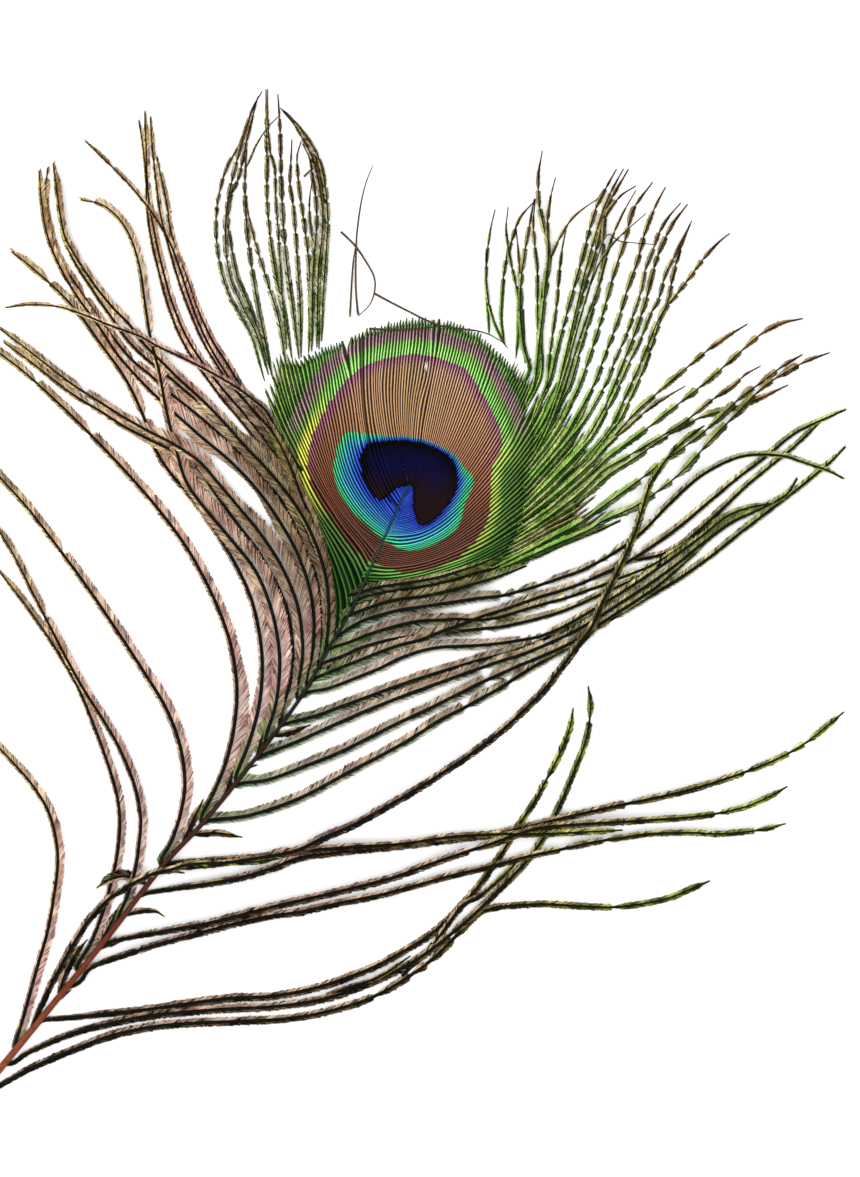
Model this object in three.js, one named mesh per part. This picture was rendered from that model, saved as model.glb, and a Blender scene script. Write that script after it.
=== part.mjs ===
// An eye feather from a peacock's train, trimmed short and lying face up on a flat surface.
// Units are millimetres. +Y runs up the shaft towards the eye, +Z is up and z = 0 is the surface.
import * as THREE from 'three';

// Driving dimensions
const GRID_STEP = 0.2; // one step of the sketch grid on which every route is drawn
const SHAFT_LEAN = 34.9; // degrees that the shaft leans to the right on the sketch
const MIDDLE_STEPS = [209.7, 787.6]; // sketch point at the part's origin, the outline's middle
const SHAFT_WIDTHS = [[0, 2.3], [0.4, 1.3], [0.75, 0.8], [1, 0.4]]; // part of its length, width
const SHAFT_HEIGHTS = [[0, 1.9], [0.4, 1.2], [0.75, 0.8], [1, 0.6]];
const SHAFT_STEPS = 44;
const SHAFT_SIDES = 10;
const VANE_THICKNESS = 0.5; // the closed vane that carries the eye
const SLOT_LENGTH = 27.5; // the stretch of shaft that the closed vane lies around
const SLOT_CLEARANCE = 0.45; // gap between the closed vane and the shaft
const SLOT_STEPS = 5;
const BARB_THICKNESS = 0.5;
const BARB_WIDTHS = [[0, 0.35], [0.06, 0.6], [0.2, 1], [0.6, 1], [1, 0.35]]; // taper to the tip
const BARB_TOP = 0.6; // width of a barb's upper face, as a part of its lower one
const BARB_LAYER = 0.85; // height from one level of crossing barbs to the next
const BARB_STEP = 7; // about the length of one straight step of a barb
const RISE_LENGTH = 13; // a barb climbs from its root to its level over this length
const CLEARANCE = 0.3; // gap between neighbouring pieces
const SHAFT_MARKS = 600; // places along the shaft from which a distance to it is read
const ROOT_TRIM = 0.1; // the most of a barb's length that is left off to clear the shaft
const TRIM_STEP = 0.002;

// The shaft's middle line, from the cut end up to its tip inside the eye.
const shaftRoute = [
  [-250, 1384], [-190, 1309], [-120, 1219], [-60, 1142], [-14, 1086], [31, 1031], [102, 944],
  [161, 868], [201, 825], [236, 783], [279, 728], [309, 685], [325, 654], [351, 611], [372, 565],
  [388, 530], [404, 495], [411, 486],
];

// The closed vane's outline, from the shaft's left side round the eye to its right side.
const vaneOutline = [
  [343, 611], [338, 575], [328, 545], [313, 512], [300, 480], [290, 448], [281, 415], [275, 385],
  [290, 362], [317, 349], [340, 339], [346, 362], [352, 335], [386, 327], [424, 317], [466, 325],
  [504, 350], [530, 378], [560, 388], [592, 392], [603, 420], [602, 462], [596, 520], [560, 545],
  [520, 563], [478, 580], [430, 596], [392, 607], [366, 612],
];

// Barbs on the left of the shaft: the level that each one lies on, its width and its route,
// from the root to the tip. Level 0 lies on the surface.
const leftBarbs = [
  [0, 2.0, [[-62, 1140], [-50, 1105], [-38, 1062], [-30, 1010], [-28, 955], [-35, 900],
    [-52, 850], [-78, 805], [-108, 765]]],
  [0, 2.0, [[16, 1042], [25, 1012], [38, 965], [48, 930], [55, 890], [58, 862], [56, 838],
    [48, 810], [31, 783], [8, 757], [-18, 730]]],
  [0, 1.8, [[78, 964], [90, 945], [102, 915], [112, 880], [118, 850], [120, 820], [116, 790],
    [104, 752], [90, 715], [76, 683], [58, 652], [40, 625], [22, 600], [0, 572]]],
  [1, 1.8, [[119, 915], [128, 895], [136, 868], [140, 840], [141, 815], [135, 785], [121, 750],
    [104, 720], [86, 692], [68, 660], [50, 625], [31, 588], [15, 556], [-4, 524]]],
  [0, 2.2, [[162, 858], [172, 840], [181, 812], [185, 782], [180, 745], [166, 708], [146, 675],
    [118, 632], [88, 588], [60, 550], [31, 512], [8, 486], [-18, 458]]],
  [0, 2.2, [[203, 813], [214, 792], [226, 762], [234, 728], [237, 690], [232, 650], [221, 615],
    [205, 580], [185, 545], [155, 505], [115, 460], [75, 419], [31, 378], [6, 358], [-22, 338]]],
  [0, 2.2, [[237, 773], [250, 740], [260, 700], [262, 655], [254, 608], [240, 573], [218, 535],
    [192, 498], [172, 475], [157, 452], [143, 415], [125, 378], [100, 343], [80, 315], [58, 291],
    [31, 267], [12, 252]]],
  [2, 2.0, [[267, 733], [277, 700], [280, 655], [272, 610], [256, 571], [232, 540], [205, 508],
    [187, 482], [177, 450], [167, 410], [160, 372], [152, 342], [146, 305], [141, 270],
    [132, 240], [120, 220], [103, 206], [82, 201]]],
  [1, 2.0, [[281, 713], [291, 680], [293, 650], [286, 605], [262, 557], [240, 527], [218, 497],
    [194, 463], [175, 452], [150, 440], [125, 427], [100, 411], [75, 396], [50, 377], [31, 362],
    [5, 343]]],
  [3, 1.8, [[297, 690], [302, 665], [303, 640], [298, 605], [283, 568], [262, 535], [240, 508],
    [218, 482], [200, 462], [175, 445], [150, 432], [125, 418], [100, 402], [75, 386], [50, 367],
    [31, 352], [2, 330]]],
  [1, 1.8, [[307, 676], [313, 650], [314, 615], [308, 582], [295, 548], [275, 514], [255, 487],
    [230, 461], [205, 440], [180, 418], [160, 400], [140, 380], [118, 355], [98, 325], [75, 293],
    [57, 260], [47, 232], [42, 200], [40, 172]]],
  [0, 1.6, [[318, 656], [322, 630], [320, 598], [313, 566], [299, 533], [283, 503], [268, 484],
    [250, 463], [228, 442], [200, 417], [170, 393], [150, 375], [130, 358], [110, 333],
    [92, 308], [73, 280], [58, 255], [49, 225], [45, 200], [48, 168]]],
  [1, 1.6, [[328, 640], [330, 615], [326, 582], [316, 552], [302, 520], [285, 487], [262, 459],
    [240, 437], [215, 415], [190, 395], [170, 378], [150, 362], [130, 343], [112, 318],
    [94, 292], [76, 264], [65, 240], [60, 215], [58, 190], [54, 164]]],
];

// Barbs that leave the closed vane's left edge.
const upperLeftBarbs = [
  [3, 1.4, [[279, 434], [267, 412], [256, 402], [240, 390], [220, 378], [200, 367], [180, 357],
    [160, 348], [140, 337], [110, 326], [85, 316], [60, 308], [31, 306], [8, 309]]],
  [0, 1.6, [[286, 470], [265, 440], [245, 415], [225, 392], [205, 366], [187, 338], [173, 305],
    [163, 270], [155, 235], [149, 200], [147, 170], [146, 140], [145, 112]]],
  [1, 1.4, [[282, 451], [262, 423], [242, 396], [222, 367], [205, 337], [192, 305], [182, 275],
    [172, 247], [162, 228], [150, 210], [134, 190], [122, 177], [105, 160], [86, 142]]],
];

// The pointed tuft left of the eye.
const leftTuftBarbs = [
  [0, 1.0, [[262, 372], [252, 338], [240, 315], [229, 295], [220, 265], [216, 228], [219, 195],
    [228, 165], [240, 145], [252, 110], [262, 92]]],
  [2, 1.2, [[266, 366], [257, 335], [242, 305], [230, 275], [226, 235], [229, 200], [238, 160],
    [248, 125], [256, 106]]],
  [0, 1.2, [[271, 370], [264, 335], [257, 300], [250, 255], [246, 215], [245, 180], [247, 150]]],
  [1, 1.2, [[285, 358], [279, 320], [270, 290], [260, 258], [252, 230], [246, 200]]],
  [0, 1.2, [[291, 352], [285, 315], [276, 275], [270, 235], [267, 200], [267, 165], [266, 90]]],
  [0, 1.2, [[298, 350], [293, 310], [287, 265], [283, 220], [281, 170], [280, 130], [278, 95]]],
  [0, 1.2, [[309, 344], [311, 310], [309, 265], [305, 230], [300, 195], [297, 160], [301, 142]]],
  [0, 1.2, [[319, 340], [319, 300], [322, 260], [325, 225], [322, 185], [314, 152], [301, 130],
    [283, 111]]],
];

// The broad tuft right of the eye.
const rightTuftBarbs = [
  [0, 1.0, [[504, 341], [501, 320], [502, 295], [505, 265], [512, 240], [520, 218], [536, 200]]],
  [1, 1.2, [[529, 370], [523, 345], [520, 310], [521, 280], [525, 250], [530, 222], [534, 200]]],
  [1, 1.2, [[536, 378], [539, 345], [543, 310], [547, 280], [549, 255], [544, 230], [539, 205],
    [538, 178], [542, 152]]],
  [0, 1.4, [[550, 380], [557, 350], [565, 320], [573, 290], [581, 262], [588, 235], [596, 208],
    [606, 188], [616, 170]]],
  [0, 1.4, [[562, 382], [569, 350], [577, 315], [586, 282], [596, 250], [602, 225], [609, 203],
    [628, 170]]],
  [1, 1.2, [[571, 383], [580, 350], [590, 318], [598, 290], [602, 262], [603, 238], [606, 216],
    [620, 197], [635, 187]]],
  [0, 1.4, [[580, 384], [590, 355], [598, 330], [606, 302], [615, 270], [625, 240], [633, 210],
    [652, 183]]],
  [0, 1.4, [[594, 384], [606, 352], [618, 320], [627, 290], [637, 262], [645, 232], [655, 207],
    [665, 188]]],
  [0, 1.4, [[608, 400], [621, 368], [634, 335], [645, 303], [652, 275], [660, 250], [672, 225],
    [687, 205]]],
  [0, 1.4, [[612, 425], [626, 395], [641, 362], [652, 335], [661, 315], [676, 295], [690, 277],
    [704, 258], [718, 243], [729, 234]]],
];

// Barbs that leave the closed vane's right edge.
const upperRightBarbs = [
  [0, 1.4, [[609, 442], [635, 413], [655, 395], [672, 380], [690, 365], [708, 350], [725, 338],
    [746, 325]]],
  [0, 1.6, [[609, 457], [645, 430], [668, 412], [690, 395], [705, 383], [720, 370], [740, 352],
    [760, 335], [780, 324], [801, 319]]],
  [0, 1.6, [[609, 475], [632, 460], [658, 442], [680, 428], [702, 417], [722, 411], [745, 404],
    [765, 396], [786, 386]]],
  [1, 1.8, [[605, 505], [630, 487], [655, 468], [680, 450], [700, 435], [717, 420], [730, 407],
    [745, 394], [762, 382], [780, 368], [800, 356]]],
  [2, 1.8, [[605, 520], [632, 508], [655, 493], [678, 475], [697, 455], [715, 435], [735, 415],
    [750, 399], [766, 385], [783, 374], [805, 362], [827, 354]]],
];

// Barbs on the right of the shaft, from the lowest to the one next to the closed vane.
const rightBarbs = [
  [0, 2.2, [[-16, 1095], [6, 1082], [31, 1068], [70, 1051], [110, 1036], [150, 1027],
    [190, 1023], [240, 1021], [280, 1019], [310, 1015], [340, 1008], [370, 998], [400, 982], [430, 961],
    [455, 937], [475, 916], [490, 909], [508, 906], [543, 904], [580, 906], [612, 907],
    [640, 904], [668, 898], [690, 889], [709, 881]]],
  [0, 2.2, [[45, 1020], [75, 1017], [110, 1013], [150, 1009], [191, 1003], [230, 998],
    [271, 996], [310, 989], [340, 980], [371, 968], [400, 953], [425, 938], [445, 922],
    [462, 905], [480, 884], [497, 860], [510, 840], [522, 820], [534, 802], [545, 782],
    [559, 755], [569, 730], [573, 709]]],
  [1, 2.2, [[14, 1062], [31, 1051], [70, 1034], [110, 1023], [150, 1015], [190, 1011],
    [230, 1008], [271, 1006], [310, 1001], [345, 992], [380, 978], [410, 963], [435, 946],
    [460, 926], [478, 910], [495, 893], [515, 873], [530, 856], [546, 833], [556, 812],
    [565, 792], [575, 768], [584, 745], [589, 722], [590, 702], [588, 687]]],
  [2, 2.0, [[79, 982], [94, 966], [137, 950], [170, 940], [204, 931], [230, 924], [271, 915],
    [300, 911], [340, 902], [380, 894], [418, 884], [450, 875], [480, 868], [500, 863],
    [530, 855], [559, 849], [590, 842], [621, 837], [650, 833], [690, 832], [720, 833],
    [760, 829], [784, 823]]],
  [3, 2.2, [[106, 943], [137, 935], [180, 927], [217, 920], [271, 906], [310, 897], [340, 890],
    [380, 880], [400, 874], [430, 863], [465, 851], [490, 843], [515, 834], [540, 827],
    [570, 824], [600, 822], [650, 819], [700, 815], [740, 807], [765, 797], [785, 786]]],
  [2, 2.2, [[148, 893], [180, 887], [231, 879], [271, 868], [300, 857], [340, 851], [400, 845],
    [450, 839], [490, 834], [520, 828], [560, 818], [590, 811], [627, 803], [665, 795],
    [700, 786], [740, 773], [777, 758], [805, 742], [829, 723], [842, 712]]],
  [4, 2.2, [[168, 869], [190, 866], [220, 862], [250, 858], [280, 853], [300, 848], [325, 836],
    [351, 825], [375, 812], [400, 798], [425, 783], [453, 765], [475, 750], [500, 731],
    [523, 710], [542, 691], [560, 668], [575, 648], [590, 628], [600, 605], [610, 585],
    [622, 560], [633, 535], [641, 510], [648, 487], [658, 470], [672, 452], [688, 437],
    [702, 427]]],
  [0, 2.4, [[211, 820], [250, 815], [300, 798], [351, 771], [380, 756], [402, 744], [420, 733],
    [440, 720], [460, 710], [480, 699], [500, 688], [520, 675], [545, 660], [570, 646],
    [590, 633], [610, 620], [630, 608], [655, 593], [680, 578], [710, 557], [740, 533],
    [770, 510], [800, 487], [829, 463], [845, 447]]],
  [1, 2.4, [[243, 783], [270, 779], [310, 764], [340, 752], [370, 737], [400, 722], [430, 708],
    [460, 693], [480, 683], [500, 674], [520, 665], [540, 657], [560, 648], [580, 638],
    [600, 624], [620, 611], [640, 598], [660, 584], [690, 557], [715, 532], [740, 516],
    [772, 503]]],
  [2, 2.4, [[263, 755], [300, 740], [340, 722], [370, 709], [400, 697], [430, 686], [460, 675],
    [480, 668], [500, 661], [520, 655], [540, 647], [560, 638], [580, 628], [600, 616],
    [620, 603], [640, 590], [670, 569], [700, 545], [730, 523], [760, 509], [785, 495],
    [796, 479]]],
  [0, 2.2, [[285, 724], [315, 716], [340, 707], [370, 696], [400, 685], [430, 675], [460, 666],
    [480, 660], [500, 655], [520, 649], [540, 641], [560, 631], [580, 620], [600, 608],
    [630, 588], [660, 564], [690, 538], [720, 511], [745, 487], [768, 468], [795, 446],
    [822, 420]]],
  [1, 2.2, [[318, 677], [340, 668], [360, 660], [380, 652], [400, 645], [420, 640], [440, 632],
    [460, 625], [480, 617], [500, 611], [520, 604], [540, 597], [560, 591], [580, 584],
    [600, 575], [620, 566], [645, 551], [680, 526], [705, 505], [735, 480], [765, 457],
    [795, 433], [829, 417], [845, 410]]],
  [3, 2.0, [[309, 692], [325, 689], [340, 684], [360, 676], [380, 668], [400, 658], [420, 651],
    [440, 647], [460, 646], [480, 645], [500, 643], [520, 640], [540, 636], [560, 628],
    [580, 617], [600, 605], [620, 593], [640, 580], [670, 559], [700, 537], [725, 517],
    [748, 508], [771, 504]]],
  [2, 2.0, [[338, 636], [360, 622], [380, 615], [400, 610], [420, 607], [440, 604], [460, 601],
    [480, 598], [500, 596], [520, 591], [540, 585], [560, 578], [580, 571], [600, 561],
    [615, 552], [635, 538], [650, 524], [662, 511], [678, 495], [695, 480], [710, 470],
    [728, 461], [745, 456], [765, 455], [785, 457], [800, 462], [815, 467], [829, 472],
    [842, 479]]],
];

const lean = THREE.MathUtils.degToRad(SHAFT_LEAN);

// A sketch point in millimetres, in the part's own frame.
function toPart([across, down]) {
  const x = (across - MIDDLE_STEPS[0]) * GRID_STEP;
  const y = (MIDDLE_STEPS[1] - down) * GRID_STEP;
  return new THREE.Vector3(
    x * Math.cos(lean) - y * Math.sin(lean),
    x * Math.sin(lean) + y * Math.cos(lean),
    0,
  );
}

// The value at one place along a table of [place, value] rows, on straight lines between rows.
function valueAt(table, place) {
  const next = table.findIndex(([end]) => place <= end);
  if (next < 1) return table[next === 0 ? 0 : table.length - 1][1];
  const [start, from] = table[next - 1];
  const [end, to] = table[next];
  return THREE.MathUtils.mapLinear(place, start, end, from, to);
}

// The horizontal direction to the right of a curve's course at one place.
function sideAt(curve, place) {
  const ahead = curve.getTangentAt(place);
  return new THREE.Vector3(ahead.y, -ahead.x, 0).normalize();
}

// Bends a unit shape, whose length runs from y = -0.5 to 0.5, along a curve from the place start.
// spread(x, z, place) gives how far a point lies to the side of the curve and above the surface.
function bendAlong(geometry, curve, start, spread) {
  const corner = geometry.getAttribute('position');
  for (let i = 0; i < corner.count; i += 1) {
    const place = THREE.MathUtils.clamp(corner.getY(i) + 0.5, 0, 1);
    const along = THREE.MathUtils.lerp(start, 1, place);
    const { aside, height } = spread(corner.getX(i), corner.getZ(i), place);
    const point = curve.getPointAt(along).addScaledVector(sideAt(curve, along), aside);
    corner.setXYZ(i, point.x, point.y, height);
  }
  geometry.computeVertexNormals();
  return geometry;
}

// The shaft: round above and flat below, where it lies on the surface.
const shaftCurve = new THREE.CatmullRomCurve3(shaftRoute.map(toPart), false, 'catmullrom');
function shaftGeometry() {
  const rod = new THREE.CylinderGeometry(0.5, 0.5, 1, SHAFT_SIDES, SHAFT_STEPS);
  rod.rotateY(Math.PI / SHAFT_SIDES);
  const flatDepth = 0.5 * Math.cos(Math.PI / SHAFT_SIDES);
  return bendAlong(rod, shaftCurve, 0, (x, z, place) => ({
    aside: x * valueAt(SHAFT_WIDTHS, place),
    height: ((z + flatDepth) / (2 * flatDepth)) * valueAt(SHAFT_HEIGHTS, place),
  }));
}

// One side of the slot that the shaft lies in, from the vane's lower edge to past its tip.
function slotSide(direction) {
  const covered = SLOT_LENGTH / shaftCurve.getLength();
  return Array.from({ length: SLOT_STEPS + 2 }, (_, step) => {
    const place = Math.min(1, 1 - covered * (1 - step / SLOT_STEPS));
    const aside = direction * (valueAt(SHAFT_WIDTHS, place) / 2 + SLOT_CLEARANCE);
    const ahead = step > SLOT_STEPS ? SLOT_CLEARANCE : 0;
    return shaftCurve.getPointAt(place)
      .addScaledVector(sideAt(shaftCurve, place), aside)
      .addScaledVector(shaftCurve.getTangentAt(place), ahead);
  });
}

// The closed vane: a thin plate round the eye, open at the slot for the shaft.
function vaneGeometry() {
  const flat = ({ x, y }) => new THREE.Vector2(x, y);
  const edge = new THREE.SplineCurve(vaneOutline.map(toPart).map(flat));
  const outline = new THREE.Shape([
    ...edge.getPoints(vaneOutline.length * 3),
    ...slotSide(1).map(flat),
    ...slotSide(-1).reverse().map(flat),
  ]);
  return new THREE.ExtrudeGeometry(outline, { depth: VANE_THICKNESS, bevelEnabled: false });
}

// Points on the shaft's middle line, with half its width there.
const shaftMarks = Array.from({ length: SHAFT_MARKS + 1 }, (_, step) => {
  const place = step / SHAFT_MARKS;
  return { point: shaftCurve.getPointAt(place), half: valueAt(SHAFT_WIDTHS, place) / 2 };
});

// How far along its route, as a part of its length, a barb first lies clear of the shaft.
function clearStart(curve, width) {
  const root = (width * BARB_WIDTHS[0][1]) / 2;
  for (let place = 0; place < ROOT_TRIM; place += TRIM_STEP) {
    const at = curve.getPointAt(place);
    const gap = Math.min(...shaftMarks.map(({ point, half }) => at.distanceTo(point) - half));
    if (gap > root + CLEARANCE) return place;
  }
  return ROOT_TRIM;
}

// One barb: a thin tapered ribbon that climbs from its root to the level it lies on.
function barbGeometry(level, width, route) {
  const curve = new THREE.CatmullRomCurve3(route.map(toPart), false, 'catmullrom');
  const start = clearStart(curve, width);
  const length = curve.getLength() * (1 - start);
  const steps = Math.round(length / BARB_STEP);
  const ribbon = new THREE.BoxGeometry(1, 1, 1, 1, steps, 1);
  return bendAlong(ribbon, curve, start, (x, z, place) => {
    const spread = x * width * valueAt(BARB_WIDTHS, place);
    const lift = level * BARB_LAYER * THREE.MathUtils.smoothstep(place * length, 0, RISE_LENGTH);
    return {
      aside: z > 0 ? spread * BARB_TOP : spread,
      height: lift + (z > 0 ? BARB_THICKNESS : 0),
    };
  });
}

// Finishes
const finish = (color, roughness) => new THREE.MeshStandardMaterial({
  color, roughness, metalness: 0,
});
const feather = new THREE.Group();

function addPiece(name, geometry, material) {
  const piece = new THREE.Mesh(geometry, material);
  piece.name = name;
  feather.add(piece);
}

function addBarbs(name, barbs, material) {
  barbs.forEach(([level, width, route], index) => {
    const number = String(index + 1).padStart(2, '0');
    addPiece(`${name}_${number}`, barbGeometry(level, width, route), material());
  });
}

addPiece('shaft', shaftGeometry(), finish(0x5a2f1c, 0.35));
addPiece('eye_vane', vaneGeometry(), finish(0x8a5a2c, 0.4));
addBarbs('barb_left', leftBarbs, () => finish(0x6d5146, 0.6));
addBarbs('barb_upper_left', upperLeftBarbs, () => finish(0x5c4a30, 0.6));
addBarbs('tuft_left', leftTuftBarbs, () => finish(0x5d6a2a, 0.55));
addBarbs('tuft_right', rightTuftBarbs, () => finish(0x3f6b26, 0.5));
addBarbs('barb_upper_right', upperRightBarbs, () => finish(0x4c6a2c, 0.5));
addBarbs('barb_right', rightBarbs, () => finish(0x4a3a24, 0.6));

export default feather;
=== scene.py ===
"""An eye feather from a peacock's train, lying face up: its shaft, its closed vane and its barbs."""
import math

import bpy
import numpy as np
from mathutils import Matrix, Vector


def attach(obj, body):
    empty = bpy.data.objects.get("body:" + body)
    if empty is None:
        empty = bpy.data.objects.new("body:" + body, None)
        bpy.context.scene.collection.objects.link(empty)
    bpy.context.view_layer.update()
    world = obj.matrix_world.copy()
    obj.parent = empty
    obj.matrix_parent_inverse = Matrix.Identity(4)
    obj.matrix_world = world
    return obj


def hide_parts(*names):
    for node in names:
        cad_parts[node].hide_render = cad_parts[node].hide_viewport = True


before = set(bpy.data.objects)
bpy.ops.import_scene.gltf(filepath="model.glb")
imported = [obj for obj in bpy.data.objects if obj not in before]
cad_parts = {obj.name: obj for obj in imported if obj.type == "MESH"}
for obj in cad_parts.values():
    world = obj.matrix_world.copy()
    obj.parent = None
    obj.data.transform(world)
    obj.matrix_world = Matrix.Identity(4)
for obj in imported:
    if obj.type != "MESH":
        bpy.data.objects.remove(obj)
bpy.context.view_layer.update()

MM = 0.001
ROUTE_STEP = 0.2 * MM  # one step of the sketch grid on which every route is drawn
SHAFT_LEAN = math.radians(34.9)  # the shaft leans to the right on the sketch
MIDDLE_STEPS = np.array((209.7, 787.6))  # sketch point at the part's origin
VIEW_MIDDLE_STEPS = (430.0, 588.5)  # sketch point at the middle of the view
VIEW_HEIGHT = 235.4 * MM
BARB_LAYER = 0.85 * MM  # height from one level of crossing barbs to the next
RISE_LENGTH = 13 * MM  # a barb climbs from its root to its level over this length
SHAFT_WIDTHS = ((0, 0.4, 0.75, 1), (2.3, 1.3, 0.8, 0.4))  # part of its length, millimetres
SHAFT_HEIGHTS = ((0, 0.4, 0.75, 1), (1.9, 1.2, 0.8, 0.6))
SEED = 20

# The shaft's middle line in sketch steps, from the cut end up to its tip inside the eye.
SHAFT_ROUTE = [
    (-250, 1384), (-190, 1309), (-120, 1219), (-60, 1142), (-14, 1086), (31, 1031), (102, 944),
    (161, 868), (201, 825), (236, 783), (279, 728), (309, 685), (325, 654), (351, 611), (372, 565),
    (388, 530), (404, 495), (411, 486)]

# Each barb: the level it lies on, its width in millimetres and its route from root to tip.
# First the barbs on the shaft's left, from the lowest.
LEFT_BARBS = [
    (0, 2.0, [(-62, 1140), (-50, 1105), (-38, 1062), (-30, 1010), (-28, 955), (-35, 900),
     (-52, 850), (-78, 805), (-108, 765)]),
    (0, 2.0, [(16, 1042), (25, 1012), (38, 965), (48, 930), (55, 890), (58, 862), (56, 838),
     (48, 810), (31, 783), (8, 757), (-18, 730)]),
    (0, 1.8, [(78, 964), (90, 945), (102, 915), (112, 880), (118, 850), (120, 820), (116, 790),
     (104, 752), (90, 715), (76, 683), (58, 652), (40, 625), (22, 600), (0, 572)]),
    (1, 1.8, [(119, 915), (128, 895), (136, 868), (140, 840), (141, 815), (135, 785), (121, 750),
     (104, 720), (86, 692), (68, 660), (50, 625), (31, 588), (15, 556), (-4, 524)]),
    (0, 2.2, [(162, 858), (172, 840), (181, 812), (185, 782), (180, 745), (166, 708), (146, 675),
     (118, 632), (88, 588), (60, 550), (31, 512), (8, 486), (-18, 458)]),
    (0, 2.2, [(203, 813), (214, 792), (226, 762), (234, 728), (237, 690), (232, 650), (221, 615),
     (205, 580), (185, 545), (155, 505), (115, 460), (75, 419), (31, 378), (6, 358), (-22, 338)]),
    (0, 2.2, [(237, 773), (250, 740), (260, 700), (262, 655), (254, 608), (240, 573), (218, 535),
     (192, 498), (172, 475), (157, 452), (143, 415), (125, 378), (100, 343), (80, 315), (58, 291),
     (31, 267), (12, 252)]),
    (2, 2.0, [(267, 733), (277, 700), (280, 655), (272, 610), (256, 571), (232, 540), (205, 508),
     (187, 482), (177, 450), (167, 410), (160, 372), (152, 342), (146, 305), (141, 270),
     (132, 240), (120, 220), (103, 206), (82, 201)]),
    (1, 2.0, [(281, 713), (291, 680), (293, 650), (286, 605), (262, 557), (240, 527), (218, 497),
     (194, 463), (175, 452), (150, 440), (125, 427), (100, 411), (75, 396), (50, 377), (31, 362),
     (5, 343)]),
    (3, 1.8, [(297, 690), (302, 665), (303, 640), (298, 605), (283, 568), (262, 535), (240, 508),
     (218, 482), (200, 462), (175, 445), (150, 432), (125, 418), (100, 402), (75, 386), (50, 367),
     (31, 352), (2, 330)]),
    (1, 1.8, [(307, 676), (313, 650), (314, 615), (308, 582), (295, 548), (275, 514), (255, 487),
     (230, 461), (205, 440), (180, 418), (160, 400), (140, 380), (118, 355), (98, 325), (75, 293),
     (57, 260), (47, 232), (42, 200), (40, 172)]),
    (0, 1.6, [(318, 656), (322, 630), (320, 598), (313, 566), (299, 533), (283, 503), (268, 484),
     (250, 463), (228, 442), (200, 417), (170, 393), (150, 375), (130, 358), (110, 333), (92, 308),
     (73, 280), (58, 255), (49, 225), (45, 200), (48, 168)]),
    (1, 1.6, [(328, 640), (330, 615), (326, 582), (316, 552), (302, 520), (285, 487), (262, 459),
     (240, 437), (215, 415), (190, 395), (170, 378), (150, 362), (130, 343), (112, 318), (94, 292),
     (76, 264), (65, 240), (60, 215), (58, 190), (54, 164)]),
    (1, 1.6, [(326, 640), (327, 610), (326, 575), (322, 555), (317, 535), (310, 515), (302, 497),
     (292, 470), (282, 448), (272, 430), (262, 409)]),
    (2, 1.8, [(326, 648), (329, 615), (327, 582), (319, 552), (306, 522), (290, 497), (268, 470),
     (246, 447), (222, 420), (200, 398), (180, 380), (165, 365), (145, 345), (130, 325),
     (115, 310), (100, 292), (86, 272), (74, 253), (66, 238), (62, 220), (59, 200), (55, 170)]),
    (0, 1.2, [(172, 475), (166, 467), (160, 458), (153, 448)])]

# Barbs that leave the closed vane's left edge.
UPPER_LEFT_BARBS = [
    (3, 1.4, [(279, 434), (267, 412), (256, 402), (240, 390), (220, 378), (200, 367), (180, 357),
     (160, 348), (140, 337), (110, 326), (85, 316), (60, 308), (31, 306), (8, 309)]),
    (0, 1.6, [(286, 470), (265, 440), (245, 415), (225, 392), (205, 366), (187, 338), (173, 305),
     (163, 270), (155, 235), (149, 200), (147, 170), (146, 140), (145, 112)]),
    (1, 1.4, [(282, 451), (262, 423), (242, 396), (222, 367), (205, 337), (192, 305), (182, 275),
     (172, 247), (162, 228), (150, 210), (134, 190), (122, 177), (105, 160), (86, 142)]),
    (0, 1.4, [(290, 482), (262, 447), (241, 421), (221, 397), (201, 370), (183, 342), (169, 308),
     (159, 272), (151, 237), (147, 205), (146, 175), (143, 145), (139, 121)]),
    (1, 1.4, [(292, 470), (276, 438), (258, 415), (235, 390), (215, 362), (200, 335), (182, 290),
     (170, 250), (161, 215), (157, 185), (153, 150), (151, 118)]),
    (0, 1.5, [(296, 462), (276, 432), (262, 415), (243, 390), (228, 365), (212, 340), (196, 305),
     (186, 275), (176, 250), (169, 222), (168, 210), (163, 185), (157, 158)])]

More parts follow.
